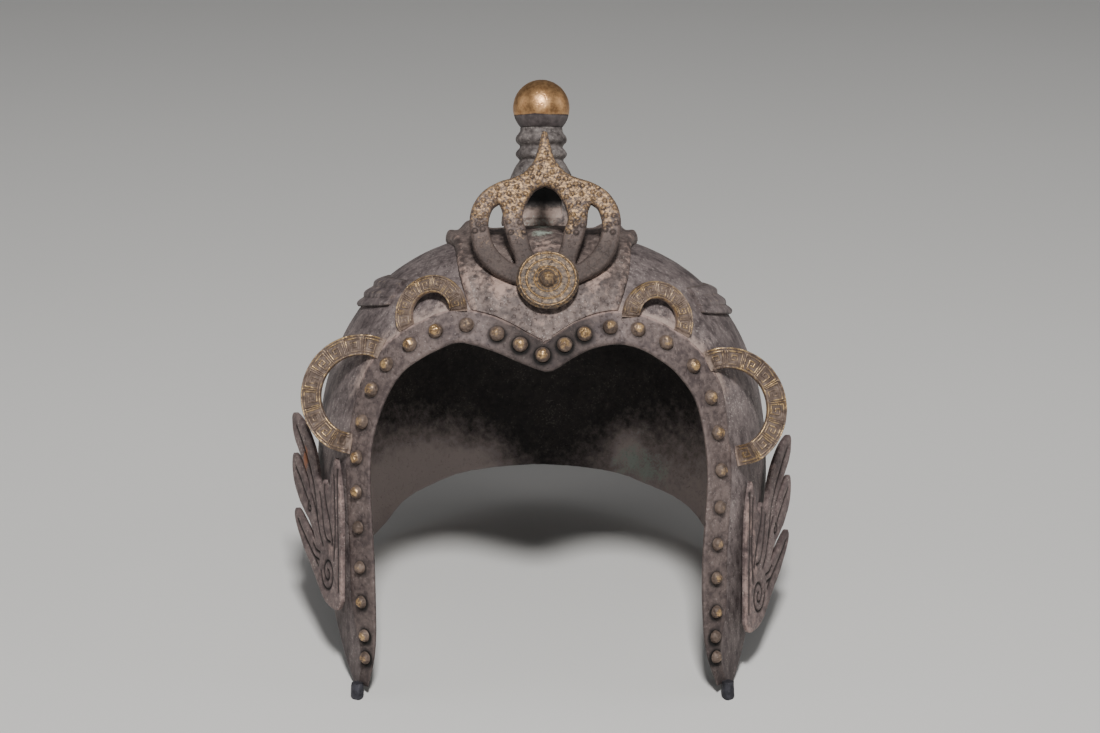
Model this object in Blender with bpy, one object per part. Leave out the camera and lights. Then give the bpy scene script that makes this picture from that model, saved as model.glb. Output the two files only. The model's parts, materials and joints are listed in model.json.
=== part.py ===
# Gilt bronze helmet: a hollow skull with cheek plates, a studded face border, a rolled crown
# strap, reeded shoulder ribs, a pierced crest with a roundel, a turned finial, curled fret
# bands, feathered wings and two foot stubs.
# Metres, +Z up, the face towards -Y. Every piece is modelled upright, as it is worn, and one
# empty then leans them all back, because the helmet rests on its stubs and on its rear rim.

import math

import bmesh
import bpy
import numpy as np
from mathutils import Matrix, Vector

# Skull
skull_width = 0.238
skull_depth = 0.222
widest_from_front = 0.105
spring_height = 0.105
crown_height = 0.232
skull_wall = 0.003
foot_taper = 0.08
side_round = 2.4
front_round = 3.3
back_round = 2.3
plan_round_front = 3.0
plan_round_back = 2.1

# Rim, from the tip of a cheek plate round to the nape
rim_back_height = 0.094
cheek_tip_height = 0.0012

# Face opening and its border
opening_half_left = 0.0865
opening_half_right = 0.0815
opening_height = 0.1755
skull_setback = 0.0012
border_side_width = 0.0133
border_brow_width = 0.0168
border_nose_width = 0.0147
border_tip_width = 0.0058
border_brow_from = 0.70
border_brow_full = 0.93
border_foot_from = 0.02
border_foot_full = 0.26
border_nose_from = 0.06
border_nose_full = 0.40
border_thickness = 0.002
border_sink = 0.0004
lip_rise = 0.0010

# Studs
studs_a_side = 15
stud_diameter = 0.0076
stud_height = 0.0040
stud_seat_share = 0.55

# Crown strap and shoulder ribs
strap_half_angle = 23.0
strap_waist = 0.09
strap_waist_at = 0.155
strap_waist_reach = 0.095
strap_thickness = 0.0018
strap_roll_rise = 0.0062
strap_nape_angle = 84.0
strap_roll_at_brow = 0.18
strap_roll_at_nape = 0.25
strap_roll_from = 0.10
strap_roll_full = 0.36
strap_fade_from = 0.80
rib_below_crown = 0.0322
rib_drop_right = 0.0040
rib_width = 0.0165
rib_rise = 0.0018
rib_base = 0.0008
rib_start_angle = -43.0
rib_strap_clearance = 0.0060
rib_end_share = 0.35
rib_end_width = 0.74

# Crest and roundel
crest_half_width = 0.0378
crest_height = 0.0795
crest_above_opening = 0.0311
crest_thickness = 0.0035
crest_lean = 23.0
crest_shift = 0.0006
roundel_radius = 0.0152
roundel_thickness = 0.0026
roundel_boss_radius = 0.0042
roundel_boss_height = 0.0052
roundel_drop = 0.0020
front_shift = 0.0015

# Finial
finial_base_radius = 0.0215
finial_neck_radius = 0.0113
finial_ring_radius = 0.0138
finial_stem_height = 0.0520
finial_ball_radius = 0.0152
niche_half_width = 0.0105
niche_height = 0.0200
niche_depth = 0.0110
niche_sill = 0.0035

# Curled bands, both sides
temple_radius = 0.0253
temple_band_width = 0.0104
temple_aside_left = 0.0053
temple_aside_right = 0.0103
temple_below_opening = 0.0267
temple_drop_right = 0.0065
temple_start_angle = 66.0
temple_end_angle = 261.0
temple_turn = 12.0
temple_lean = 8.0
brow_radius = 0.0148
brow_band_width = 0.0088
brow_share_left = 0.645
brow_share_right = 0.685
brow_above_opening = 0.0143
brow_drop_right = 0.0030
brow_start_angle = 4.0
brow_end_angle = 210.0
brow_turn = 24.0
brow_lean = 13.0
band_thickness = 0.0026
band_rim_width = 0.0009
band_field_depth = 0.0005

# Wings
wing_depth = 0.0590
wing_height = 0.0972
wing_foot_height = 0.0393
wing_drop_right = 0.0122
wing_thickness = 0.0024
wing_flare = 30.0
wing_border_lap = 0.0046

# Foot stubs
stub_radius = 0.0034
stub_aside = 0.0058
stub_ahead = 0.0019
stub_foot_height = -0.0042

# Fits
gap = 0.0003
curved_gap = 0.0005
strap_gap = 0.0007
stud_gap = 0.0006

# Mesh fineness
outline_steps = 48
dome_steps = 16
strap_steps = 22
rib_steps = 12
temple_steps = 20
brow_steps = 14
crest_steps = 26
crest_middle_steps = 9
crest_side_steps = 15
arch_steps = 8
ball_steps = 9
round_sides = 16
roundel_sides = 18
stud_sides = 9
stub_sides = 12
sharp_angle = 35.0

# Each half of the face opening, from the foot of a cheek plate up to the nose point.
# out is a share of that half opening, up a share of the opening's height.
opening_rows = (
    # left out, left up, right out, right up
    (1.023, 0.007, 1.070, 0.007),
    (0.978, 0.135, 0.988, 0.135),
    (0.980, 0.350, 0.966, 0.350),
    (1.000, 0.600, 0.994, 0.600),
    (0.983, 0.724, 0.975, 0.724),
    (0.913, 0.834, 0.917, 0.834),
    (0.824, 0.909, 0.804, 0.909),
    (0.716, 0.952, 0.700, 0.948),
    (0.606, 0.981, 0.600, 0.975),
    (0.509, 0.999, 0.500, 0.991),
    (0.410, 0.992, 0.400, 0.994),
    (0.291, 0.973, 0.272, 0.982),
    (0.165, 0.946, 0.157, 0.957),
    (0.068, 0.927, 0.075, 0.932),
    (0.000, 0.919, 0.000, 0.919),
)

# The rim on each side, by its direction in plan: -90 is the face, 0 the widest point, 90 the
# nape. up is a share of the way from the cheek tip to the rim at the nape.
rim_rows = (
    # angle, left up, right up
    (-36.0, 0.000, 0.000),
    (-32.0, 0.149, 0.149),
    (-28.5, 0.310, 0.310),
    (-24.6, 0.440, 0.440),
    (-17.0, 0.500, 0.500),
    (-9.7, 0.515, 0.515),
    (5.0, 0.530, 0.530),
    (20.0, 0.545, 0.545),
    (30.0, 0.575, 0.575),
    (39.5, 0.668, 0.735),
    (47.7, 0.802, 0.825),
    (56.6, 0.885, 0.888),
    (69.3, 0.965, 0.965),
    (90.0, 1.000, 1.000),
)

# Where the studs sit along the border's middle line, as shares of its half from the nose point.
stud_rows = (
    # left, right
    (0.048, 0.049),
    (0.098, 0.094),
    (0.160, 0.147),
    (0.222, 0.203),
    (0.280, 0.265),
    (0.341, 0.338),
    (0.400, 0.412),
    (0.467, 0.484),
    (0.539, 0.560),
    (0.608, 0.635),
    (0.679, 0.709),
    (0.759, 0.778),
    (0.829, 0.847),
    (0.897, 0.898),
    (0.942, 0.940),
)

# Strap section from its middle to its edge: across is a share of the half angle,
# roll a share of the rise of the edge rolls.
strap_rows = (
    # across, roll
    (0.00, 0.00),
    (0.25, 0.00),
    (0.50, 0.02),
    (0.60, 0.50),
    (0.72, 1.00),
    (0.84, 0.45),
    (0.93, 0.62),
    (1.00, 0.00),
)

# Reeds of a shoulder rib, lower edge to upper edge, as shares of its width and rise.
rib_section = (
    # across, rise
    (-1.00, 0.00),
    (-0.70, 0.78),
    (-0.38, 0.25),
    (-0.18, 0.95),
    (0.14, 0.95),
    (0.36, 0.30),
    (0.68, 1.00),
    (1.00, 0.00),
)

# Crest, right half, from its tip down to its foot: shares of half width and height.
crest_outline = (
    # out, up
    (0.000, 1.000),
    (0.080, 0.898),
    (0.147, 0.803),
    (0.290, 0.722),
    (0.440, 0.687),
    (0.640, 0.653),
    (0.827, 0.592),
    (0.950, 0.505),
    (1.000, 0.410),
    (0.990, 0.310),
    (0.945, 0.205),
    (0.850, 0.112),
    (0.720, 0.045),
    (0.560, 0.000),
    (0.360, -0.040),
    (0.000, -0.060),
)
crest_middle_hole = (
    # out, up
    (0.000, 0.632),
    (0.130, 0.600),
    (0.245, 0.515),
    (0.300, 0.415),
    (0.240, 0.312),
    (0.190, 0.204),
    (0.120, 0.150),
    (0.000, 0.140),
)
crest_side_hole = (
    # out, up
    (0.610, 0.507),
    (0.700, 0.470),
    (0.750, 0.372),
    (0.700, 0.252),
    (0.590, 0.165),
    (0.400, 0.100),
    (0.480, 0.240),
    (0.550, 0.360),
    (0.570, 0.455),
)

# Turned profile of the finial's stem: radius as a share between the neck and the base,
# up as a share of the stem's height.
stem_rows = (
    # radius, up
    (1.00, 0.000),
    (1.00, 0.050),
    (0.86, 0.200),
    (0.70, 0.360),
    (0.50, 0.500),
    (0.24, 0.610),
    (0.06, 0.668),
    (0.22, 0.700),
    (0.25, 0.735),
    (0.18, 0.765),
    (0.00, 0.800),
    (0.20, 0.848),
    (0.25, 0.880),
    (0.20, 0.912),
    (0.00, 0.960),
    (0.02, 1.000),
)

# Turned profile of the roundel's front: radius as a share of the disc, rise as a share of its
# thickness above the rear face.
roundel_field = 0.72
roundel_rows = (
    # radius, rise
    (1.00, 0.00),
    (1.00, 0.70),
    (0.95, 1.00),
    (0.83, 1.00),
    (0.78, roundel_field),
    (0.70, roundel_field),
    (0.66, 0.96),
    (0.56, 0.96),
    (0.52, roundel_field),
    (0.42, roundel_field),
    (0.38, 0.94),
    (0.31, 0.94),
)

# The boss on the roundel: radius and rise as shares of its own.
boss_rows = (
    # radius, rise
    (1.00, 0.00),
    (0.62, 0.62),
    (0.26, 0.88),
    (0.00, 1.00),
)

# A stud's head: radius and rise as shares of its own.
stud_head_rows = (
    # radius, rise
    (0.00, 0.00),
    (1.00, 0.00),
    (0.94, 0.42),
    (0.60, 0.86),
    (0.00, 1.00),
)

# A foot stub from its foot to its top.
stub_rows = (
    # radius, up
    (0.80, 0.00),
    (1.00, 0.18),
    (1.00, 1.00),
)

# Section of the face border, from the opening outwards.
border_section = (
    # across, lip
    (0.00, 0.70),
    (0.10, 1.00),
    (0.20, 0.00),
    (0.60, 0.00),
    (1.00, 0.00),
)

# Wing plate from its lower front corner round the feather tips: back is a share of its depth,
# up a share of its height.
wing_rows = (
    # back, up
    (0.00, 0.052),
    (0.10, 0.000),
    (0.31, 0.023),
    (0.43, 0.076),
    (0.60, 0.184),
    (0.78, 0.290),
    (0.93, 0.407),
    (0.955, 0.470),
    (0.88, 0.483),
    (0.68, 0.401),
    (0.54, 0.338),
    (0.60, 0.407),
    (0.74, 0.476),
    (0.86, 0.539),
    (0.97, 0.635),
    (1.00, 0.735),
    (0.95, 0.783),
    (0.80, 0.727),
    (0.63, 0.595),
    (0.66, 0.661),
    (0.79, 0.754),
    (0.95, 0.864),
    (1.00, 0.963),
    (0.94, 1.000),
    (0.76, 0.952),
    (0.60, 0.862),
    (0.50, 0.767),
    (0.42, 0.629),
    (0.34, 0.672),
    (0.27, 0.619),
    (0.14, 0.778),
    (0.08, 0.762),
    (0.00, 0.534),
)

bronze_dark = (0.115, 0.090, 0.075)
bronze_dusty = (0.170, 0.128, 0.105)
gilt = (0.420, 0.285, 0.130)
gilt_bright = (0.620, 0.360, 0.150)
iron_dark = (0.040, 0.036, 0.040)


def smooth_path(points, count):
    """A smooth curve through the points, read at even steps along it."""
    points = np.asarray(points, float)
    before = 2 * points[0] - points[1]
    after = 2 * points[-1] - points[-2]
    padded = np.vstack([before, points, after])
    t = np.linspace(0, 1, 12, endpoint=False)[:, None]
    spans = []
    for i in range(len(points) - 1):
        a, b, c, d = padded[i:i + 4]
        curve = 2 * b + (c - a) * t + (2 * a - 5 * b + 4 * c - d) * t**2
        spans.append(0.5 * (curve + (3 * b - a - 3 * c + d) * t**3))
    fine = np.vstack(spans + [points[-1:]])
    run = np.concatenate([[0], np.cumsum(np.linalg.norm(np.diff(fine, axis=0), axis=1))])
    at = np.linspace(0, run[-1], count)
    return np.column_stack([np.interp(at, run, column) for column in fine.T])


def dome_share(z, offset, roundness):
    """How far a horizontal section of the dome has drawn in at height z, 1 at the spring line."""
    rise = np.clip((z - spring_height) / (crown_height + offset - spring_height), 0, 1)
    return (1 - rise**roundness) ** (1 / roundness)


def half_width(z, offset=0.0):
    drop = np.maximum((spring_height - z) / spring_height, 0)
    drawn = 1 - foot_taper * drop**1.5
    return (skull_width / 2 + offset) * dome_share(z, offset, side_round) * drawn


def front_reach(z, offset=0.0):
    return (widest_from_front + offset) * dome_share(z, offset, front_round)


def back_reach(z, offset=0.0):
    behind = skull_depth - widest_from_front
    return (behind + offset) * dome_share(z, offset, back_round)


def plan_value(point, offset):
    """1 on the skull's outer surface moved out by offset, less inside it, more outside it."""
    x, y, z = point[..., 0], point[..., 1] - widest_from_front, point[..., 2]
    front = y < 0
    reach = np.where(front, front_reach(z, offset), back_reach(z, offset))
    power = np.where(front, plan_round_front, plan_round_back)
    wide = np.maximum(half_width(z, offset), 1e-6)
    reach = np.maximum(reach, 1e-6)
    return (np.abs(x) / wide) ** power + (np.abs(y) / reach) ** power


heart = np.array((0.0, widest_from_front, spring_height))
rib_height = crown_height - rib_below_crown
crest_foot_height = opening_height + crest_above_opening


def along_rays(directions, offset):
    """Where rays from the middle of the dome meet its surface moved out by offset."""
    directions = np.asarray(directions, float)
    directions = directions / np.linalg.norm(directions, axis=-1, keepdims=True)
    near = np.zeros(directions.shape[:-1])
    far = np.full(directions.shape[:-1], skull_width + skull_depth)
    offset = np.broadcast_to(offset, near.shape)
    for _ in range(44):
        middle = (near + far) / 2
        inside = plan_value(heart + directions * middle[..., None], offset) < 1
        near = np.where(inside, middle, near)
        far = np.where(inside, far, middle)
    return heart + directions * near[..., None]


def on_front(x, z, offset=0.0):
    """Points of the face side of the dome above the frontal places x, z."""
    wide = half_width(z, offset)
    share = np.clip(np.abs(x) / wide, 0, 1) ** plan_round_front
    y = widest_from_front - front_reach(z, offset) * (1 - share) ** (1 / plan_round_front)
    return np.stack([x, y, z], axis=-1)


def on_section(angle, z, offset=0.0):
    """Points of the dome at height z and plan angle, right side; -90 is the face, 90 the nape."""
    c, s = np.cos(angle), np.sin(angle)
    front = s < 0
    reach = np.where(front, front_reach(z, offset), back_reach(z, offset))
    power = np.where(front, plan_round_front, plan_round_back)
    total = (np.abs(c) / half_width(z, offset)) ** power + (np.abs(s) / reach) ** power
    radius = total ** (-1 / power)
    return np.stack([radius * c, widest_from_front + radius * s, z + 0 * radius], axis=-1)


def outward(point, offset=0.0):
    """The unit normal of the dome at a point."""
    step = 1e-5
    slope = []
    for axis in np.eye(3):
        ahead = plan_value(point + step * axis, offset)
        behind = plan_value(point - step * axis, offset)
        slope.append(ahead - behind)
    slope = np.stack(slope, axis=-1)
    return slope / np.linalg.norm(slope, axis=-1, keepdims=True)


def smoothstep(low, high, value):
    t = np.clip((value - low) / (high - low), 0, 1)
    return t * t * (3 - 2 * t)


def opening_outline():
    """The face opening in the frontal plane, from the left foot over the nose point to the right."""
    left = []
    right = []
    for left_out, left_up, right_out, right_up in opening_rows:
        shift = front_shift * (1 - min(1, left_out))
        left.append((shift - left_out * opening_half_left, left_up * opening_height))
        shift = front_shift * (1 - min(1, right_out))
        right.append((shift + right_out * opening_half_right, right_up * opening_height))
    return smooth_path(left + right[::-1][1:], outline_steps + 1)


def frontal_normals(outline):
    """Unit normals of the opening's outline in the frontal plane, away from the opening."""
    along = np.gradient(outline, axis=0)
    normals = np.column_stack([-along[:, 1], along[:, 0]])
    return normals / np.linalg.norm(normals, axis=1, keepdims=True)


def border_outline(outline):
    """The outer edge of the border, offset from the opening by a width that follows its height."""
    height = outline[:, 1]
    brow = smoothstep(border_brow_from, border_brow_full, height / opening_height)
    foot = 1 - smoothstep(border_foot_from, border_foot_full, height / opening_height)
    width = border_side_width + (border_brow_width - border_side_width) * brow
    width = width + (border_tip_width - border_side_width) * foot
    aside = np.abs(outline[:, 0] - front_shift) / opening_half_left
    nose = 1 - smoothstep(border_nose_from, border_nose_full, aside)
    width = width + (border_nose_width - border_brow_width) * nose * brow
    return outline + frontal_normals(outline) * width[:, None]


opening = opening_outline()
border_edge = border_outline(opening)


def rim_points(offset):
    """The rim from the left cheek tip round the nape to the right one."""
    rows = np.array(rim_rows)
    angle = np.radians(rows[:, 0])
    rise = rim_back_height - cheek_tip_height
    left = on_section(angle, cheek_tip_height + rise * rows[:, 1], offset) * (-1, 1, 1)
    right = on_section(angle, cheek_tip_height + rise * rows[:, 2], offset)
    left[-1, 0] = right[-1, 0] = 0.0
    return smooth_path(np.vstack([left, right[::-1][1:]]), outline_steps + 1)


def new_object(name, vertices, faces, material, smooth=True):
    mesh = bpy.data.meshes.new(name)
    mesh.from_pydata([tuple(v) for v in vertices], [], faces)
    shape = bmesh.new()
    shape.from_mesh(mesh)
    bmesh.ops.recalc_face_normals(shape, faces=shape.faces)
    shape.to_mesh(mesh)
    shape.free()
    if smooth:
        mesh.shade_smooth()
        mesh.set_sharp_from_angle(angle=math.radians(sharp_angle))
    mesh.materials.append(material)
    piece = bpy.data.objects.new(name, mesh)
    bpy.context.collection.objects.link(piece)
    return piece


def grid_faces(rows, columns, start=0):
    faces = []
    for i in range(rows - 1):
        for j in range(columns - 1):
            a = start + i * columns + j
            faces.append((a, a + 1, a + columns + 1, a + columns))
    return faces


def shell_body(name, top, bottom, material):
    """One closed body between two grids of the same size."""
    rows, columns = top.shape[:2]
    count = rows * columns
    vertices = np.vstack([top.reshape(-1, 3), bottom.reshape(-1, 3)])
    faces = grid_faces(rows, columns) + grid_faces(rows, columns, count)
    ring = [(0, j) for j in range(columns)]
    ring += [(i, columns - 1) for i in range(1, rows)]
    ring += [(rows - 1, j) for j in range(columns - 2, -1, -1)]
    ring += [(i, 0) for i in range(rows - 2, 0, -1)]
    edge = [i * columns + j for i, j in ring]
    for here, ahead in zip(edge, edge[1:] + edge[:1]):
        faces.append((here, ahead, ahead + count, here + count))
    return new_object(name, vertices, faces, material)


def turned_body(name, profile, sides, material):
    """A profile of (radius, z) that starts and ends on the axis, spun about Z."""
    shape = bmesh.new()
    ring = [shape.verts.new((radius, 0.0, z)) for radius, z in profile]
    edges = [shape.edges.new(pair) for pair in zip(ring, ring[1:])]
    bmesh.ops.spin(
        shape, geom=ring + edges, cent=(0, 0, 0), axis=(0, 0, 1), angle=2 * math.pi, steps=sides
    )
    bmesh.ops.remove_doubles(shape, verts=shape.verts, dist=1e-5)
    bmesh.ops.dissolve_degenerate(shape, edges=shape.edges, dist=1e-6)
    vertices = [v.co.copy() for v in shape.verts]
    index = {v: i for i, v in enumerate(shape.verts)}
    faces = [tuple(index[v] for v in face.verts) for face in shape.faces]
    shape.free()
    return new_object(name, vertices, faces, material)


def plate_body(name, outline, low, high, material):
    """A flat outline in X and Z, carried along Y from low to high."""
    count = len(outline)
    vertices = [(x, low, z) for x, z in outline] + [(x, high, z) for x, z in outline]
    faces = [tuple(range(count)), tuple(range(2 * count - 1, count - 1, -1))]
    for i in range(count):
        j = (i + 1) % count
        faces.append((i, j, j + count, i + count))
    return new_object(name, vertices, faces, material, smooth=False)


def hide_cutter(cutter):
    cutter.hide_render = True
    cutter.display_type = "WIRE"


def cut(piece, cutter):
    hide_cutter(cutter)
    cutter.parent = piece
    taken = piece.modifiers.new("cut_" + cutter.name, "BOOLEAN")
    taken.operation = "DIFFERENCE"
    taken.solver = "EXACT"
    taken.object = cutter


def metal(name, colour, roughness, metallic):
    made = bpy.data.materials.new(name)
    made.use_nodes = True
    shader = made.node_tree.nodes["Principled BSDF"]
    shader.inputs["Base Color"].default_value = (*colour, 1.0)
    shader.inputs["Roughness"].default_value = roughness
    shader.inputs["Metallic"].default_value = metallic
    return made


def skull_grid(offset, recess):
    """Rows from the opening's edge, under the border, up its step and over the dome to the rim."""
    normals = frontal_normals(opening)
    edge = opening + normals * skull_setback
    step_foot = border_edge + normals * gap
    step_top = border_edge + normals * 2 * gap
    rows = []
    for share in (0.0, 0.5, 1.0):
        flat = edge + (step_foot - edge) * share
        rows.append(on_front(flat[:, 0], flat[:, 1], offset - recess))
    crest_line = on_front(step_top[:, 0], step_top[:, 1], offset)
    rim = rim_points(offset)
    start = crest_line - heart
    end = rim - heart
    start = start / np.linalg.norm(start, axis=1, keepdims=True)
    end = end / np.linalg.norm(end, axis=1, keepdims=True)
    turn = np.arccos(np.clip((start * end).sum(axis=1), -1, 1))[:, None]
    for step in range(dome_steps + 1):
        share = step / dome_steps
        direction = np.sin((1 - share) * turn) * start + np.sin(share * turn) * end
        rows.append(along_rays(direction / np.sin(turn), offset))
    return np.stack(rows)


def make_skull(material):
    recess = border_thickness + border_sink + curved_gap
    outer = skull_grid(0.0, recess)
    inner = skull_grid(-skull_wall, recess)
    return shell_body("skull", outer, inner, material)


def make_border(material):
    top = []
    bottom = []
    for across, lip in border_section:
        flat = opening + (border_edge - opening) * across
        rise = lip * lip_rise - border_sink
        top.append(on_front(flat[:, 0], flat[:, 1], rise))
        bottom.append(on_front(flat[:, 0], flat[:, 1], -border_sink - border_thickness))
    return shell_body("face_border", np.stack(top), np.stack(bottom), material)


def strap_start(angle):
    """The frontal place where a ray at this roll angle passes the border's outer edge."""
    x, z = border_edge[:, 0], border_edge[:, 1] - spring_height
    keep = z > 0
    roll = np.arctan2(z[keep], x[keep])
    reach = np.hypot(x[keep], z[keep])
    order = np.argsort(roll)
    radius = np.interp(angle, roll[order], reach[order]) + 3 * gap
    return radius * np.cos(angle), spring_height + radius * np.sin(angle)


def strap_angle(across, share):
    """Roll angle of a strap row at a share of the way from the brow to the nape."""
    dip = strap_waist * math.exp(-(((share - strap_waist_at) / strap_waist_reach) ** 2))
    return math.radians(90) - across * math.radians(strap_half_angle) * (1 - dip)


def make_strap(material):
    rows = list(strap_rows)
    section = [(-across, roll) for across, roll in rows[:0:-1]] + rows
    across = np.array([row[0] for row in section])
    roll_share = np.array([row[1] for row in section])
    x, z = strap_start(strap_angle(across, 0))
    front = on_front(x, z) - heart
    start = np.arctan2(front[:, 1], np.hypot(front[:, 0], front[:, 2]))
    end = math.radians(strap_nape_angle)
    top = []
    bottom = []
    for step in range(strap_steps + 1):
        share = step / strap_steps
        tip = start + (end - start) * share
        angle = strap_angle(across, share)
        # In front of the crown the edges draw together, behind it they run parallel.
        ahead = tip < 0
        x = np.cos(angle) * np.where(ahead, np.cos(tip), 1)
        y = np.sin(tip) * np.where(ahead, 1, np.sin(angle))
        direction = np.stack([x, y, np.sin(angle) * np.cos(tip)], axis=-1)
        # The rolls are low at the brow, full over the crown and fade towards the nape.
        fade = 1 - (1 - strap_roll_at_nape) * smoothstep(strap_fade_from, 1, share)
        risen = smoothstep(strap_roll_from, strap_roll_full, share)
        grown = strap_roll_at_brow + (1 - strap_roll_at_brow) * risen * fade
        rise = strap_gap + strap_thickness + roll_share * strap_roll_rise * grown
        top.append(along_rays(direction, rise))
        bottom.append(along_rays(direction, strap_gap + 0 * rise))
    return shell_body("crown_strap", np.stack(top), np.stack(bottom), material)


def rib_end():
    """The plan angle at which a shoulder rib stops short of the strap behind the crown."""
    top = rib_height + rib_width / 2
    edge = (top - spring_height) * math.tan(math.radians(strap_half_angle)) + rib_strap_clearance
    share = (edge / half_width(top)) ** plan_round_back
    behind = back_reach(top) * (1 - share) ** (1 / plan_round_back)
    return math.atan2(behind, edge)


def make_rib(side, material):
    drop = rib_drop_right if side > 0 else 0.0
    angle = np.linspace(math.radians(rib_start_angle), rib_end(), rib_steps + 1)
    share = np.linspace(0, 1, rib_steps + 1)
    full = np.sqrt(np.clip(np.sin(math.pi * share), 0, 1))
    end_fade = rib_end_share + (1 - rib_end_share) * full
    narrow = rib_end_width + (1 - rib_end_width) * full
    top = []
    bottom = []
    for across, rise in rib_section:
        z = rib_height - drop + across * rib_width / 2 * narrow
        lift = curved_gap + rib_base + rise * rib_rise * end_fade
        top.append(on_section(angle, z, lift) * (side, 1, 1))
        bottom.append(on_section(angle, z, curved_gap) * (side, 1, 1))
    name = "shoulder_rib_left" if side < 0 else "shoulder_rib_right"
    return shell_body(name, np.stack(top), np.stack(bottom), material)


def mirrored(rows):
    """A closed outline from its right half, whose first and last points lie on the middle."""
    left = [(-x, z) for x, z in rows[-2:0:-1]]
    return list(rows) + left


def scaled(rows):
    return [(x * crest_half_width, z * crest_height) for x, z in rows]


def crest_edge():
    """The crest's outline in its own plane, all the way round."""
    half = smooth_path(scaled(crest_outline), crest_steps)
    half[0, 0] = half[-1, 0] = 0.0
    return mirrored([tuple(p) for p in half])


def roundel_stand():
    """Place of the roundel's rear face in the crest's own frame."""
    return Vector((front_shift - crest_shift, -crest_thickness - gap, -roundel_drop))


def crest_frame():
    """Place and lean of the crest: its rear face, or the roundel's, touches the strap's front."""
    lean = Matrix.Rotation(-math.radians(crest_lean), 4, "X")
    stand = Matrix.Translation((crest_shift, 0.0, crest_foot_height)) @ lean
    rear = [Vector((x, 0.0, z)) for x, z in crest_edge()]
    for step in range(roundel_sides):
        angle = 2 * math.pi * step / roundel_sides
        rim = Vector((math.cos(angle), 0.0, math.sin(angle))) * roundel_radius
        rear.append(roundel_stand() + rim)
    rear = np.array([stand @ point for point in rear])
    slide = seat_depth(rear, strap_gap + strap_thickness + gap)
    return Matrix.Translation((0, slide, 0)) @ stand


def make_crest(material):
    crest = plate_body("crest", crest_edge(), -crest_thickness, 0.0, material)
    crest.matrix_basis = crest_frame()
    margin = crest_thickness
    middle = smooth_path(scaled(crest_middle_hole), crest_middle_steps)
    middle[0, 0] = middle[-1, 0] = 0.0
    holes = [mirrored([tuple(p) for p in middle])]
    side_rows = scaled(crest_side_hole + crest_side_hole[:1])
    side_hole = [tuple(p) for p in smooth_path(side_rows, crest_side_steps)[:-1]]
    holes.append(side_hole)
    holes.append([(-x, z) for x, z in side_hole[::-1]])
    for number, hole in enumerate(holes):
        cutter = plate_body(f"crest_hole_{number}", hole, -crest_thickness - margin, margin, material)
        cut(crest, cutter)
    return crest


def make_roundel(material):
    rows = [(radius * roundel_radius, rise * roundel_thickness) for radius, rise in roundel_rows]
    field = roundel_field * roundel_thickness
    for radius, rise in boss_rows:
        rows.append((radius * roundel_boss_radius, field + rise * roundel_boss_height))
    disc = turned_body("roundel", [(0.0, 0.0)] + rows, roundel_sides, material)
    forward = Matrix.Rotation(math.radians(90), 4, "X")
    disc.matrix_basis = crest_frame() @ Matrix.Translation(roundel_stand()) @ forward
    return disc


finial_foot = crown_height + strap_gap + strap_thickness + gap


def make_stem(material):
    profile = []
    for share, up in stem_rows:
        radius = finial_neck_radius + share * (finial_base_radius - finial_neck_radius)
        if share == 0.25:
            radius = finial_ring_radius
        profile.append((radius, up * finial_stem_height))
    profile = [(0.0, 0.0)] + profile + [(0.0, finial_stem_height)]
    stem = turned_body("finial_stem", profile, round_sides, material)
    stem.location = (0, widest_from_front, finial_foot)
    arch = [(-niche_half_width, niche_sill), (niche_half_width, niche_sill)]
    spring = niche_sill + niche_height - niche_half_width
    for step in range(arch_steps + 1):
        angle = math.pi * step / arch_steps
        arch.append((niche_half_width * math.cos(angle), spring + niche_half_width * math.sin(angle)))
    front = -2 * finial_base_radius
    back = -finial_base_radius + niche_depth
    cut(stem, plate_body("niche", arch, front, back, material))
    return stem


def make_ball(material):
    """A ball cut flat where it meets the stem's neck."""
    sink = math.sqrt(finial_ball_radius**2 - finial_neck_radius**2)
    low = -math.asin(sink / finial_ball_radius)
    profile = [(0.0, -sink)]
    for step in range(ball_steps + 1):
        angle = low + (math.pi / 2 - low) * step / ball_steps
        profile.append((finial_ball_radius * math.cos(angle), finial_ball_radius * math.sin(angle)))
    profile[-1] = (0.0, finial_ball_radius)
    ball = turned_body("finial_ball", profile, round_sides, material)
    ball.location = (0, widest_from_front, finial_foot + finial_stem_height + gap + sink)
    return ball


def seat_depth(points, lift):
    """How far along Y a piece moves until it touches the dome moved out by lift."""
    x, y, z = points[:, 0], points[:, 1], points[:, 2]
    over = (np.abs(x) < 0.999 * half_width(z, lift)) & (z < crown_height)
    surface = on_front(x[over], z[over], lift)
    return (surface[:, 1] - y[over]).min()


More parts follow.
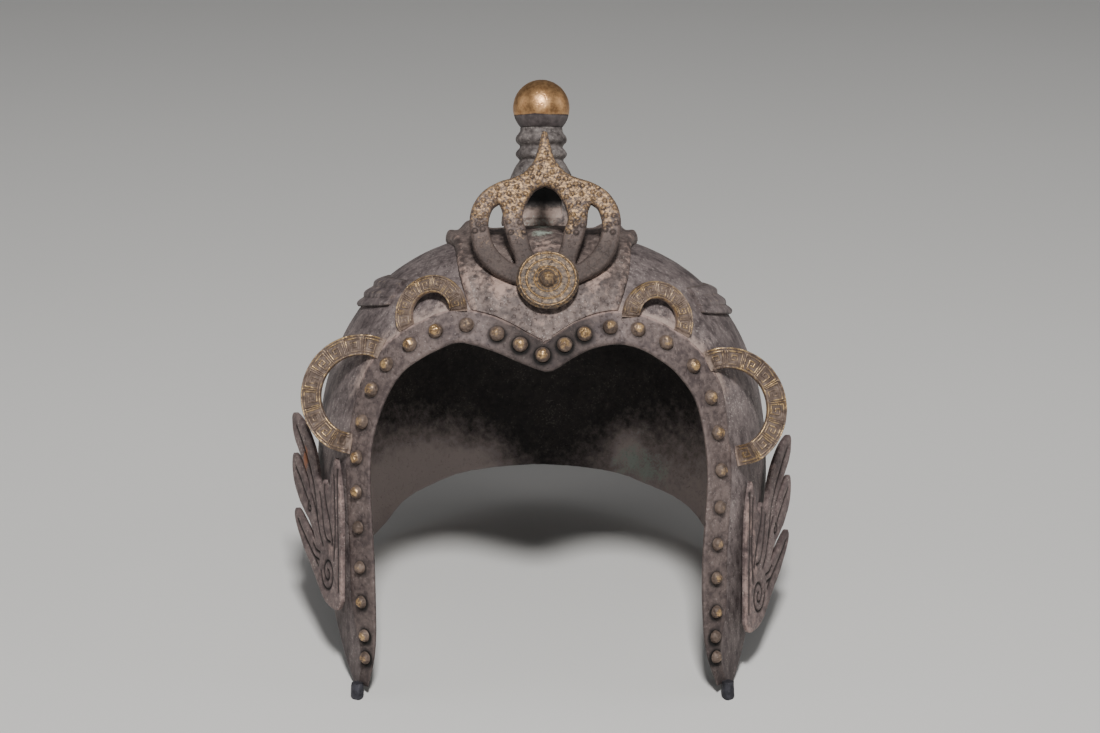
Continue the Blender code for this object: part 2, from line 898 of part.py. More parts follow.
def curled_band(name, side, radius, width, start, end, place, turn, lean, steps, material):
    """A flat band with raised rims along an arc, stood on the dome in front of its place."""
    half = width / 2
    inner = half - band_rim_width
    field = -band_thickness + band_field_depth
    section = (
        (-half, 0.0),
        (-half, -band_thickness),
        (-inner, -band_thickness),
        (-inner, field),
        (inner, field),
        (inner, -band_thickness),
        (half, -band_thickness),
        (half, 0.0),
    )
    angle = np.radians(np.linspace(start, end, steps + 1))
    across = np.array([row[0] for row in section])
    depth = np.array([row[1] for row in section])
    reach = radius + across[None, :]
    x = -side * reach * np.cos(angle)[:, None]
    z = reach * np.sin(angle)[:, None]
    y = np.broadcast_to(depth[None, :], x.shape)
    vertices = np.stack([x, y, z], axis=-1).reshape(-1, 3)
    columns = len(section)
    faces = []
    for i in range(steps):
        for j in range(columns):
            k = (j + 1) % columns
            a, b = i * columns, (i + 1) * columns
            faces.append((a + j, a + k, b + k, b + j))
    faces.append(tuple(range(columns)))
    faces.append(tuple(range(steps * columns, (steps + 1) * columns)))
    band = new_object(name, vertices, faces, material, smooth=False)
    spin = Matrix.Rotation(side * math.radians(turn), 4, "Z")
    tilt = Matrix.Rotation(-math.radians(lean), 4, "X")
    frame = Matrix.Translation(place) @ spin @ tilt
    world = np.array([frame @ Vector(v) for v in vertices])
    slide = seat_depth(world, gap - border_sink)
    band.matrix_basis = Matrix.Translation((0, slide, 0)) @ frame
    return band


def make_bands(material):
    for side, word in ((-1, "left"), (1, "right")):
        right = side > 0
        half = opening_half_right if right else opening_half_left
        out = half + (temple_aside_right if right else temple_aside_left)
        up = opening_height - temple_below_opening - (temple_drop_right if right else 0.0)
        curled_band(
            "temple_band_" + word, side, temple_radius, temple_band_width,
            temple_start_angle, temple_end_angle, (side * out, 0.0, up),
            temple_turn, temple_lean, temple_steps, material,
        )
        out = half * (brow_share_right if right else brow_share_left)
        up = opening_height + brow_above_opening - (brow_drop_right if right else 0.0)
        curled_band(
            "brow_band_" + word, side, brow_radius, brow_band_width,
            brow_start_angle, brow_end_angle, (side * out, 0.0, up),
            brow_turn, brow_lean, brow_steps, material,
        )


def wing_outline():
    """Plate outline as (back, up) in metres, in the plane of the wing."""
    return [(back * wing_depth, up * wing_height) for back, up in wing_rows]


def wing_front():
    """Depth at which the wing plates start: a set lap in front of the border's rearmost edge."""
    x, z = border_edge[:, 0], border_edge[:, 1]
    beside = (z > wing_foot_height) & (z < wing_foot_height + wing_height)
    return on_front(x[beside], z[beside])[:, 1].max() - wing_border_lap


def make_wing(side, material):
    """A flat plate in the plane of its own X and Z, turned to flare back and out."""
    outline = wing_outline()
    word = "left" if side < 0 else "right"
    wing = plate_body("wing_" + word, outline, -wing_thickness, 0.0, material)
    flare = math.radians(wing_flare)
    # The plate's X runs back and outwards, and its -Y looks forwards and outwards.
    back = Vector((side * math.sin(flare), math.cos(flare), 0))
    up = Vector((0, 0, 1))
    inward = Vector((-side * math.cos(flare), math.sin(flare), 0))
    turn = Matrix((back, inward, up)).transposed().to_4x4()
    drop = wing_drop_right if side > 0 else 0.0
    frame = Matrix.Translation((0, wing_front(), wing_foot_height - drop)) @ turn
    inner = []
    for share in np.linspace(0, 1, 12):
        for x, z in outline:
            inner.append(frame @ Vector((x * share, 0.0, z)))
    inner = np.array(inner)
    reach = on_wall(inner[:, 1], inner[:, 2], curved_gap)
    slide = (reach - side * inner[:, 0]).max()
    wing.matrix_basis = Matrix.Translation((side * slide, 0, 0)) @ frame
    return wing


def on_wall(y, z, offset):
    """Half width of the dome at depth y and height z."""
    away = y - widest_from_front
    front = away < 0
    reach = np.where(front, front_reach(z, offset), back_reach(z, offset))
    power = np.where(front, plan_round_front, plan_round_back)
    share = np.clip(np.abs(away) / reach, 0, 1) ** power
    return half_width(z, offset) * (1 - share) ** (1 / power)


def stud_profile():
    return [(radius * stud_diameter / 2, rise * stud_height) for radius, rise in stud_head_rows]


def middle_line():
    """Frontal line that the studs follow, and its length up to each of its points."""
    line = opening + (border_edge - opening) * stud_seat_share
    run = np.concatenate([[0], np.cumsum(np.linalg.norm(np.diff(line, axis=0), axis=1))])
    return line, run


def make_studs(material):
    pattern = turned_body("stud_centre", stud_profile(), stud_sides, material)
    line, run = middle_line()
    nose = int(np.argmin(np.abs(line[:, 0]) + (line[:, 1] < opening_height / 2)))
    halves = {"left": run[nose], "right": run[-1] - run[nose]}
    places = [("stud_centre", run[nose])]
    for number in range(studs_a_side):
        left, right = stud_rows[number]
        places.append((f"stud_left_{number + 1:02d}", run[nose] - left * halves["left"]))
        places.append((f"stud_right_{number + 1:02d}", run[nose] + right * halves["right"]))
    for name, at in places:
        stud = pattern
        if name != pattern.name:
            stud = bpy.data.objects.new(name, pattern.data)
            bpy.context.collection.objects.link(stud)
        x, z = (np.interp(at, run, line[:, k]) for k in (0, 1))
        point = on_front(np.array(x), np.array(z), -border_sink + stud_gap)
        normal = Vector(outward(point))
        turn = normal.to_track_quat("Z", "Y").to_matrix().to_4x4()
        stud.matrix_basis = Matrix.Translation(Vector(point)) @ turn


def stub_place(side):
    """Where a stub stands in plan: under the foot of the border."""
    left_out, _, right_out, _ = opening_rows[0]
    foot = left_out * opening_half_left if side < 0 else right_out * opening_half_right
    seat = on_front(np.array(foot + border_tip_width / 2), np.array(cheek_tip_height))
    return side * (foot + stub_aside), float(seat[1]) - stub_ahead


def border_foot(side, out):
    """Height of the border's lower edge at this distance from the middle."""
    end = 0 if side < 0 else -1
    inner, outer = opening[end], border_edge[end]
    share = (out - abs(inner[0])) / (abs(outer[0]) - abs(inner[0]))
    return inner[1] + (outer[1] - inner[1]) * min(max(share, 0.0), 1.0)


def rest_angle(skull):
    """The lean back at which the rear rim meets the floor that the stubs stand on."""
    stub_back = stub_place(-1)[1]
    points = np.array([v.co for v in skull.data.vertices])
    behind = points[:, 1] > stub_back + skull_wall + 4 * stub_radius
    points = points[behind]
    return np.arctan2(points[:, 2] - stub_foot_height, points[:, 1] - stub_back).min()


def make_stub(side, lean, material):
    """A round stub under a cheek tip: flat top as worn, flat foot parallel to the floor."""
    word = "left" if side < 0 else "right"
    out, back = stub_place(side)
    foot_height = stub_foot_height + (back - stub_place(-1)[1]) * math.tan(lean)
    vertices = []
    top = border_foot(side, abs(out) - stub_radius) - gap
    for share, up in stub_rows:
        for step in range(stub_sides):
            angle = 2 * math.pi * step / stub_sides
            x = share * stub_radius * math.cos(angle)
            y = share * stub_radius * math.sin(angle)
            floor = foot_height + y * math.tan(lean)
            vertices.append((x, y, floor + (top - floor) * up))
    rings = len(stub_rows)
    last = (rings - 1) * stub_sides
    faces = [tuple(range(stub_sides)), tuple(range(last, last + stub_sides))]
    for ring in range(rings - 1):
        for j in range(stub_sides):
            k = (j + 1) % stub_sides
            a, b = ring * stub_sides, (ring + 1) * stub_sides
            faces.append((a + j, a + k, b + k, b + j))
    stub = new_object("foot_stub_" + word, vertices, faces, material, smooth=False)
    stub.location = (out, back, 0)
    return stub


def lean_back(lean):
    """Parents every piece to one empty that leans it back and sets it on the floor."""
    rest = bpy.data.objects.new("rest", None)
    bpy.context.collection.objects.link(rest)
    turn = Matrix.Rotation(-lean, 4, "X")
    corners = []
    for piece in list(bpy.context.collection.objects):
        if piece.parent or piece is rest:
            continue
        piece.parent = rest
        if piece.type == "MESH":
            corners += [turn @ piece.matrix_basis @ v.co for v in piece.data.vertices]
    corners = np.array(corners)
    low = corners.min(axis=0)
    high = corners.max(axis=0)
    middle = (low + high) / 2
    rest.matrix_basis = Matrix.Translation((-middle[0], -middle[1], -low[2])) @ turn
    print("lean", round(math.degrees(lean), 2), "size", (high - low).round(4))
    return rest


def build():
    for old in list(bpy.data.objects):
        bpy.data.objects.remove(old, do_unlink=True)
    dark = metal("dark_bronze", bronze_dark, 0.62, 0.55)
    dusty = metal("dusty_bronze", bronze_dusty, 0.70, 0.45)
    worn_gilt = metal("worn_gilt", gilt, 0.48, 0.85)
    bright = metal("bright_gilt", gilt_bright, 0.30, 0.95)
    iron = metal("dark_iron", iron_dark, 0.60, 0.70)
    skull = make_skull(dark)
    make_border(dusty)
    make_strap(dusty)
    for side in (-1, 1):
        make_rib(side, dusty)
        make_wing(side, dusty)
    make_crest(worn_gilt)
    make_roundel(worn_gilt)
    make_stem(dark)
    make_ball(bright)
    make_bands(worn_gilt)
    make_studs(worn_gilt)
    lean = rest_angle(skull)
    for side in (-1, 1):
        make_stub(side, lean, iron)
    lean_back(lean)


build()
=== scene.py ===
import json
import math

import bpy
import numpy as np
from mathutils import Matrix, Vector


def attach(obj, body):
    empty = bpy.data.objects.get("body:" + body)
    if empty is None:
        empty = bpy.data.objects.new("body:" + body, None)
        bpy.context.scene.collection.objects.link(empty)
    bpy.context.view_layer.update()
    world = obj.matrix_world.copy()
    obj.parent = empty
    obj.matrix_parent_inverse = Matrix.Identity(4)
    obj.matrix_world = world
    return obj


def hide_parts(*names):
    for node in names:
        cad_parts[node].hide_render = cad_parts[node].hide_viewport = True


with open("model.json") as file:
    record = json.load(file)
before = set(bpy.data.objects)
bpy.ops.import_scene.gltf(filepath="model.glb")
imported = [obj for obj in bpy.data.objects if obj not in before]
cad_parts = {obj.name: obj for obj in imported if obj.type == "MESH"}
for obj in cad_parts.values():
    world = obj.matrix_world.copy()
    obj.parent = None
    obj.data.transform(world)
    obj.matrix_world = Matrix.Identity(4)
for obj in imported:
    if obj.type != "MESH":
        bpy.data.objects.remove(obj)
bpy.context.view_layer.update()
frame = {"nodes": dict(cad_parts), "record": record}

# Lengths are in metres. Every piece is worked out upright, as the helmet is worn, with the face
# towards -Y, and then leant back as the CAD stands. The CAD's head seat gives that lean. In the
# tables, a pair with no words beside it is where a step begins and where it is full.
dome = {
    "width": 0.238, "depth": 0.222, "widestAt": 0.105, "springHeight": 0.105,
    "crownHeight": 0.232, "wall": 0.003, "footTaper": 0.08,
    "sideRound": 2.4, "frontRound": 3.3, "backRound": 2.3, "planFront": 3.0, "planBack": 2.1,
}
heart = np.array((0.0, dome["widestAt"], dome["springHeight"]))
fit = {"gap": 0.0003, "curved": 0.0005, "strap": 0.0007}  # clearances to what carries a piece
sides = ((-1, "left"), (1, "right"))

seat = next(m for m in frame["record"]["mounts"] if m["name"] == "head_seat")
lean = math.atan2(seat["axis"][1], seat["axis"][2])
leanBack = np.array((
    (1, 0, 0),
    (0, math.cos(lean), math.sin(lean)),
    (0, -math.sin(lean), math.cos(lean)),
))
restShift = np.array(seat["pos_m"]) - leanBack @ heart


def toWorld(points):
    # Upright points, leant back into the CAD's place.
    return points @ leanBack.T + restShift


def ownPoints(node):
    # The CAD node's corners, stood upright again.
    mesh = frame["nodes"][node].data
    corners = np.zeros(len(mesh.vertices) * 3)
    mesh.vertices.foreach_get("co", corners)
    return (corners.reshape(-1, 3) - restShift) @ leanBack


def cadReach(node, turn):
    # The lowest and the highest corner of the CAD node along a piece's own axes.
    turned = ownPoints(node) @ turn
    return turned.min(axis=0), turned.max(axis=0)


# Small mathematics

def easeStep(low, high, value):
    # 0 at low and past it, 1 at high and past it, and an s-shaped cubic between them. High may
    # be the smaller of the two.
    t = np.clip((value - low) / (high - low), 0, 1)
    return t * t * (3 - 2 * t)


def between(low, high, share):
    # The value that goes straight from low to high as the share goes from 0 to 1.
    return low + (high - low) * share


def bell(away):
    # A soft bump: 1 where away is 0, about a third where it is 1.
    return np.exp(-away**2)


def unit(vectors):
    # The vectors along the last axis, each brought to a length of 1.
    return vectors / np.linalg.norm(vectors, axis=-1, keepdims=True)


def roundCap(away):
    # A round cap: the root of 1 - away squared, 1 in its middle and 0 from away = 1 on.
    return np.sqrt(np.clip(1 - away**2, 0, 1))


def smoothPath(points, count, perSpan=24):
    # A Catmull-Rom curve through the points, read at even steps along its length.
    points = np.asarray(points, float)
    padded = np.vstack([2 * points[0] - points[1], points, 2 * points[-1] - points[-2]])
    t = np.linspace(0, 1, perSpan, endpoint=False)[:, None]
    spans = []
    for i in range(len(points) - 1):
        a, b, c, d = padded[i:i + 4]
        bend = 2 * b + (c - a) * t + (2 * a - 5 * b + 4 * c - d) * t**2
        spans.append(0.5 * (bend + (3 * b - a - 3 * c + d) * t**3))
    fine = np.vstack(spans + [points[-1:]])
    run = np.concatenate([[0], np.cumsum(np.linalg.norm(np.diff(fine, axis=0), axis=1))])
    at = np.linspace(0, run[-1], count)
    return np.column_stack([np.interp(at, run, column) for column in fine.T])


def lumps(points, size, seed, waves=22):
    # The mean of plane waves with random directions, phases and lengths near size, about -1 to 1.
    chance = np.random.default_rng(seed)
    way = unit(chance.normal(size=(waves, 3)))
    way *= 2 * np.pi / (size * chance.uniform(0.7, 1.7, (waves, 1)))
    phase = chance.uniform(0, 2 * np.pi, waves)
    total = 0
    for k in range(waves):
        total = total + np.sin(points @ way[k] + phase[k])
    return total / math.sqrt(2 * waves)


def spots(points, table):
    # A sum of round soft spots: strength times exp(-(distance / radius) squared).
    total = np.zeros(points.shape[:-1])
    for x, y, z, radius, strength in table:
        away = ((points - (x, y, z)) ** 2).sum(axis=-1)
        total += strength * np.exp(-away / radius**2)
    return total


# The dome's own form

def domeShare(z, offset, roundness):
    # A superellipse from the spring line up to the crown: (1 - rise^n)^(1/n).
    rise = (z - dome["springHeight"]) / (dome["crownHeight"] + offset - dome["springHeight"])
    return (1 - np.clip(rise, 0, 1) ** roundness) ** (1 / roundness)


def halfWidth(z, offset=0.0):
    # Half the width at height z, drawn in a little towards the foot.
    drop = np.maximum((dome["springHeight"] - z) / dome["springHeight"], 0)
    drawn = 1 - dome["footTaper"] * drop**1.5
    return (dome["width"] / 2 + offset) * domeShare(z, offset, dome["sideRound"]) * drawn


def frontReach(z, offset=0.0):
    # How far the dome lies in front of its widest place at height z.
    return (dome["widestAt"] + offset) * domeShare(z, offset, dome["frontRound"])


def backReach(z, offset=0.0):
    # The same behind its widest place.
    behind = dome["depth"] - dome["widestAt"]
    return (behind + offset) * domeShare(z, offset, dome["backRound"])


def planShape(front, z, offset):
    # The dome's reach and the power of its plan, where front says which side is meant.
    reach = np.where(front, frontReach(z, offset), backReach(z, offset))
    return reach, np.where(front, dome["planFront"], dome["planBack"])


def planValue(point, offset):
    # |x / half width|^n + |y / reach|^n, which is 1 on the dome moved out by offset.
    x, y, z = point[..., 0], point[..., 1] - dome["widestAt"], point[..., 2]
    reach, power = planShape(y < 0, z, offset)
    wide = np.maximum(halfWidth(z, offset), 1e-6)
    return (np.abs(x) / wide) ** power + (np.abs(y) / np.maximum(reach, 1e-6)) ** power


def alongRays(directions, offset, halvings=26):
    # Halves the span on each ray from the dome's heart until it meets the moved-out surface.
    directions = unit(directions)
    near = np.zeros(directions.shape[:-1])
    far = np.full(directions.shape[:-1], dome["width"] + dome["depth"])
    offset = np.broadcast_to(offset, near.shape)
    for _ in range(halvings):
        middle = (near + far) / 2
        inside = planValue(heart + directions * middle[..., None], offset) < 1
        near = np.where(inside, middle, near)
        far = np.where(inside, far, middle)
    return heart + directions * near[..., None]


def onFront(x, z, offset=0.0):
    # The face side of the dome over the frontal place x, z.
    share = np.clip(np.abs(x) / halfWidth(z, offset), 0, 1) ** dome["planFront"]
    y = dome["widestAt"] - frontReach(z, offset) * (1 - share) ** (1 / dome["planFront"])
    return np.stack([x, y, z + 0 * x], axis=-1)


def onSection(angle, z, offset=0.0):
    # The dome at height z and plan angle: radius = (|cos/a|^n + |sin/b|^n)^(-1/n).
    c, s = np.cos(angle), np.sin(angle)
    reach, power = planShape(s < 0, z, offset)
    total = (np.abs(c) / halfWidth(z, offset)) ** power + (np.abs(s) / reach) ** power
    radius = total ** (-1 / power)
    return np.stack([radius * c, dome["widestAt"] + radius * s, z + 0 * radius], axis=-1)


def outward(point):
    # The dome's unit normal, from differences of its plan value.
    step = 1e-5 * np.eye(3)
    slope = [planValue(point + s, 0.0) - planValue(point - s, 0.0) for s in step]
    return unit(np.stack(slope, axis=-1))


# Meshes

def addObject(name, data):
    made = bpy.data.objects.new(name, data)
    bpy.context.collection.objects.link(made)
    return made


def makePiece(name, points, faces, finish, nodes, values, sharp=40):
    # Puts arrays into a mesh in the CAD's place, turns its faces outwards and lets it ride. The
    # values, one for all points or one for each, are what the finish reads.
    points = toWorld(np.asarray(points, float).reshape(-1, 3))
    mesh = bpy.data.meshes.new(name)
    mesh.from_pydata(points.tolist(), [], faces)
    mesh.calc_loop_triangles()
    corners = np.zeros(len(mesh.loop_triangles) * 3, np.int32)
    mesh.loop_triangles.foreach_get("vertices", corners)
    a, b, c = (points[corners.reshape(-1, 3)[:, k]] for k in range(3))
    if (a * np.cross(b, c)).sum() < 0:
        mesh.flip_normals()
    mesh.shade_smooth()
    mesh.set_sharp_from_angle(angle=math.radians(sharp))
    for key, value in {"worn": -1.0, "accent": -1.0, **values}.items():
        layer = mesh.attributes.new(key, "FLOAT", "POINT")
        value = np.broadcast_to(np.ravel(np.asarray(value, np.float32)), (len(points),))
        layer.data.foreach_set("value", np.ascontiguousarray(value))
    mesh.materials.append(finish)
    piece = addObject(name, mesh)
    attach(piece, "root")
    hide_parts(*nodes)
    return piece


def frontAndRear(front, rear):
    # Values for a body whose points, or whose sections, hold its front and then its rear.
    return np.concatenate([front, rear], axis=-1)


def ringQuads(count, around):
    # Quads between neighbouring rings of points.
    i = np.arange(count - 1)[:, None] * around
    j = np.arange(around)
    k = (j + 1) % around
    quads = np.stack([i + j, i + k, i + around + k, i + around + j], axis=-1)
    return quads.reshape(-1, 4).tolist()


def tubeFaces(count, around, folded=False):
    # A body of closed sections. A folded section is covered at each end by a strip between its
    # two halves, any other by one face.
    faces = ringQuads(count, around)
    for first, turn in ((0, 1), ((count - 1) * around, -1)):
        if folded:
            a = np.arange(around // 2 - 1)
            strip = np.stack([a, around - 1 - a, around - 2 - a, a + 1], axis=-1)
            faces += (strip[:, ::turn] + first).tolist()
        else:
            faces.append((np.arange(around)[::-turn] + first).tolist())
    return faces


def shellOf(top, bottom):
    # One closed body between two grids of the same size: each section runs out along the top
    # and back along the bottom.
    sections = np.concatenate([top, bottom[:, ::-1]], axis=1)
    return sections, tubeFaces(*sections.shape[:2], folded=True)


def turnedBody(profile, steps):
    # A profile of radius and height, from pole to pole, spun about Z.
    profile = np.asarray(profile, float)
    angle = np.linspace(0, 2 * np.pi, steps, endpoint=False)
    rings = profile[1:-1]
    x = rings[:, :1] * np.cos(angle)
    y = rings[:, :1] * np.sin(angle)
    z = np.broadcast_to(rings[:, 1:], x.shape)
    points = np.stack([x, y, z], axis=-1).reshape(-1, 3)
    points = np.vstack([points, (0, 0, profile[0, 1]), (0, 0, profile[-1, 1])])
    last = (len(rings) - 1) * steps
    j = np.arange(steps)
    k = (j + 1) % steps
    low = np.full(steps, len(points) - 2)
    high = np.full(steps, len(points) - 1)
    foot = np.stack([k, j, low], axis=-1).tolist()
    top = np.stack([last + j, last + k, high], axis=-1).tolist()
    return points, ringQuads(len(rings), steps) + foot + top


def loopDistance(points, loops):
    # Distance to the nearest of the closed loops, positive between the first loop and the
    # others, with the nearest place on them. Crossings along +X tell inside from outside.
    best = np.full(len(points), np.inf)
    nearest = np.zeros_like(points)
    solid = np.zeros(len(points), bool)
    for loop in loops:
        for start, end in zip(loop, np.roll(loop, -1, axis=0)):
            way = end - start
            share = np.clip((points - start) @ way / max(way @ way, 1e-18), 0, 1)
            foot = start + share[:, None] * way
            away = np.linalg.norm(points - foot, axis=1)
            closer = away < best
            best = np.where(closer, away, best)
            nearest = np.where(closer[:, None], foot, nearest)
            spans = (start[1] > points[:, 1]) != (end[1] > points[:, 1])
            rise = way[1] if abs(way[1]) > 1e-12 else 1e-12
            solid ^= spans & (points[:, 0] < start[0] + (points[:, 1] - start[1]) / rise * way[0])
    return np.where(solid, best, -best), nearest


def standing(place):
    # A plate's flat places as points of its own upright plane.
    return np.column_stack([place[:, 0], 0 * place[:, 0], place[:, 1]])


def reliefPlate(loops, cell, depthAt):
    # A grid over the plate, kept where it is solid, with its border drawn to the outline. The
    # front lies at -depthAt(place, distance to the edge), the rear is flat, walls join them.
    low, high = loops[0].min(axis=0) - cell, loops[0].max(axis=0) + cell
    across = np.arange(low[0], high[0], cell)
    up = np.arange(low[1], high[1], cell)
    place = np.stack(np.meshgrid(across, up), axis=-1).reshape(-1, 2)
    wide = len(across)
    i, j = np.meshgrid(np.arange(len(up) - 1), np.arange(wide - 1), indexing="ij")
    first = (i * wide + j).ravel()
    quads = np.stack([first, first + 1, first + wide + 1, first + wide], axis=-1)
    inside, _ = loopDistance(place[first] + cell / 2, loops)
    quads = quads[inside > 0]
    used, quads = np.unique(quads, return_inverse=True)
    quads = quads.reshape(-1, 4)
    place = place[used]
    reach, nearest = loopDistance(place, loops)
    edges = np.stack([quads, np.roll(quads, -1, axis=1)], axis=-1).reshape(-1, 2)
    key = np.sort(edges, axis=1) @ np.array((len(place), 1))
    _, back, count = np.unique(key, return_inverse=True, return_counts=True)
    rim = edges[count[back] == 1]
    onRim = np.unique(rim)
    place[onRim] = nearest[onRim]
    reach[onRim] = 0
    reach = np.maximum(reach, 0)
    behind = standing(place)
    front = behind - depthAt(place, reach)[:, None] * (0, 1, 0)
    total = len(place)
    walls = np.stack([rim[:, 1], rim[:, 0], rim[:, 0] + total, rim[:, 1] + total], axis=-1)
    faces = np.vstack([quads, quads[:, ::-1] + total, walls]).tolist()
    return np.vstack([front, behind]), faces, place, reach


def lineDistance(points, line):
    # Distance from each point to an open line of straight parts.
    best = np.full(points.shape[:-1], np.inf)
    for start, end in zip(line[:-1], line[1:]):
        way = np.subtract(end, start)
        share = np.clip((points - start) @ way / (way @ way), 0, 1)[..., None]
        best = np.minimum(best, np.linalg.norm(points - start - share * way, axis=-1))
    return best


def axes(turn=0.0, leaning=0.0):
    # Columns are a piece's own axes after it leans back about X and then turns about Z.
    spin = Matrix.Rotation(math.radians(turn), 3, "Z")
    tilt = Matrix.Rotation(-math.radians(leaning), 3, "X")
    return np.array(spin @ tilt)


# Finishes

def paint(red, green, blue):
    # A screen colour, 0 to 255, as the linear colour that a shader wants.
    shares = np.array((red, green, blue)) / 255
    linear = np.where(shares > 0.04045, ((shares + 0.055) / 1.055) ** 2.4, shares / 12.92)
    return (*linear.tolist(), 1.0)


class Wire:
    # One output of a node. Arithmetic on it adds Math nodes, and add() adds any other node.
    def __init__(self, tree, socket=None):
        self.tree = tree
        self.socket = socket

    def add(self, kind, settings=None, inputs=None, outlet=0):
        node = self.tree.nodes.new(kind)
        for key, value in (settings or {}).items():
            setattr(node, key, value)
        for key, value in (inputs or {}).items():
            if isinstance(value, Wire):
                self.tree.links.new(value.socket, node.inputs[key])
            else:
                node.inputs[key].default_value = value
        return Wire(self.tree, node.outputs[outlet] if node.outputs else None)

    def sums(self, operation, *values):
        return self.add("ShaderNodeMath", {"operation": operation}, dict(enumerate(values)))

    def ramp(self, low, high):
        easy = {"interpolation_type": "SMOOTHSTEP"}
        return self.add("ShaderNodeMapRange", easy, {0: self, 1: low, 2: high})

    def blend(self, first, second):
        # The colour that goes from first to second as this wire goes from 0 to 1.
        return self.add("ShaderNodeMix", {"data_type": "RGBA"}, {0: self, 6: first, 7: second}, 2)

    def __add__(self, other):
        return self.sums("ADD", self, other)

    def __sub__(self, other):
        return self.sums("SUBTRACT", self, other)

    def __rsub__(self, other):
        return self.sums("SUBTRACT", other, self)

    def __mul__(self, other):
        return self.sums("MULTIPLY", self, other)


plainLook = {
    "dark": (74, 64, 61), "mid": (132, 120, 115), "dust": (178, 156, 144),
    "fleck": (196, 186, 178), "gilt": (198, 168, 124), "giltDeep": (128, 104, 82),
    "accent": (160, 172, 158),
    "shade": (15, 12, 11), "dustShare": 0.75, "accentShare": 0.85, "flecks": 0.5,
    "patchSize": 24, "grainSize": 3.0, "speckSize": 1.1, "pitSize": 1.9, "streak": 1.0,
    "leafSpread": 1.0, "patchy": 1.0, "roughness": 0.62, "giltRoughness": 0.38, "metal": 0.30,
    "giltMetal": 0.85, "shine": 0.45, "bump": 0.00018, "pits": 0.00024,
    # where each layer begins to show and where it is whole
    "dustRamp": (0.30, 0.80), "giltRamp": (0.36, 0.78), "accentRamp": (0.38, 0.78),
    "dirtRamp": (0.08, 0.95), "fleckRamp": (0.10, 0.24), "leafRamp": (-0.16, 0.12),
    "pitRamp": (-0.20, -0.06),
}


def bronze(name, **changes):
    # Old bronze in layers: dark and mid tones in patches, pale flecks, dust where it settles,
    # gilding where it is left, one more colour where the accent value asks for it, and painted
    # shade, a dark colour for shadows and hollows, where the shade value asks for it.
    look = {**plainLook, **changes}
    made = bpy.data.materials.new(name)
    made.use_nodes = True
    tree = made.node_tree
    tree.nodes.clear()
    start = Wire(tree)
    place = start.add("ShaderNodeTexCoord", outlet=3)

    def noise(size, detail=3.0, rough=0.6, stretch=1.0):
        # Size in millimetres. It runs from about -0.5 to 0.5.
        where = place
        if stretch != 1.0:
            where = start.add("ShaderNodeMapping", None, {0: place, 3: (1.0, 1.0, stretch)})
        sizes = {"Vector": where, "Scale": 1000 / size, "Detail": detail, "Roughness": rough}
        return start.add("ShaderNodeTexNoise", None, sizes) - 0.5

    def value(key):
        return start.add("ShaderNodeAttribute", {"attribute_name": key}, outlet=2)

    def colourOf(key):
        return paint(*look[key])

    patches = noise(look["patchSize"], 4.0, 0.62)
    blotches = noise(look["patchSize"] * 0.3, 4.0, 0.66)
    grain = noise(look["grainSize"], 3.0, 0.62, look["streak"])
    speckle = noise(look["speckSize"], 2.0, 0.6)
    dust = value("dust") + (blotches * 1.1 + grain * 0.6) * look["patchy"]
    dust = dust.ramp(*look["dustRamp"])
    gilt = (value("worn") + grain * 0.9 + speckle * 0.5).ramp(*look["giltRamp"])
    accent = (value("accent") + blotches * 1.1 + speckle * 0.9).ramp(*look["accentRamp"])
    # painted shade: the shade value, a little broken up, darkens the colour towards the shade
    # colour, dulls it and takes its metal away
    dirt = (value("shade") + blotches * 0.3).ramp(*look["dirtRamp"])
    flecks = (speckle + patches * 0.35).ramp(*look["fleckRamp"]) * look["flecks"]

    tone = (patches * 1.3 + blotches * 0.9 + grain * 1.4).ramp(-0.5, 0.5)
    colour = tone.blend(colourOf("dark"), colourOf("mid"))
    colour = flecks.blend(colour, colourOf("fleck"))
    colour = (dust * look["dustShare"]).blend(colour, colourOf("dust"))
    leaf = ((grain + speckle * 0.8) * look["leafSpread"]).ramp(*look["leafRamp"])
    colour = gilt.blend(colour, leaf.blend(colourOf("giltDeep"), colourOf("gilt")))
    colour = (accent * look["accentShare"]).blend(colour, colourOf("accent"))
    colour = dirt.blend(colour, colourOf("shade"))

    dull = (1 - gilt) * (look["roughness"] - look["giltRoughness"]) + look["giltRoughness"]
    dull = dull + dust * 0.10 + grain * 0.22 + dirt * 0.35
    metal = (gilt * (look["giltMetal"] - look["metal"]) + look["metal"]) * (1 - dust * 0.5)
    metal = metal * (1 - accent * 0.8) * (1 - dirt)
    pits = noise(look["pitSize"], 2.0, 0.5).ramp(*look["pitRamp"])
    relief = grain * look["bump"] + noise(0.8, 2.0) * (look["bump"] * 0.4) + pits * look["pits"]
    bump = start.add("ShaderNodeBump", None, {"Strength": 1.0, "Distance": 1.0, "Height": relief})
    surface = start.add("ShaderNodeBsdfPrincipled", None, {
        "Base Color": colour, "Roughness": dull, "Metallic": metal, "Normal": bump,
        "Specular IOR Level": look["shine"],
    })
    start.add("ShaderNodeOutputMaterial", None, {"Surface": surface})
    return made


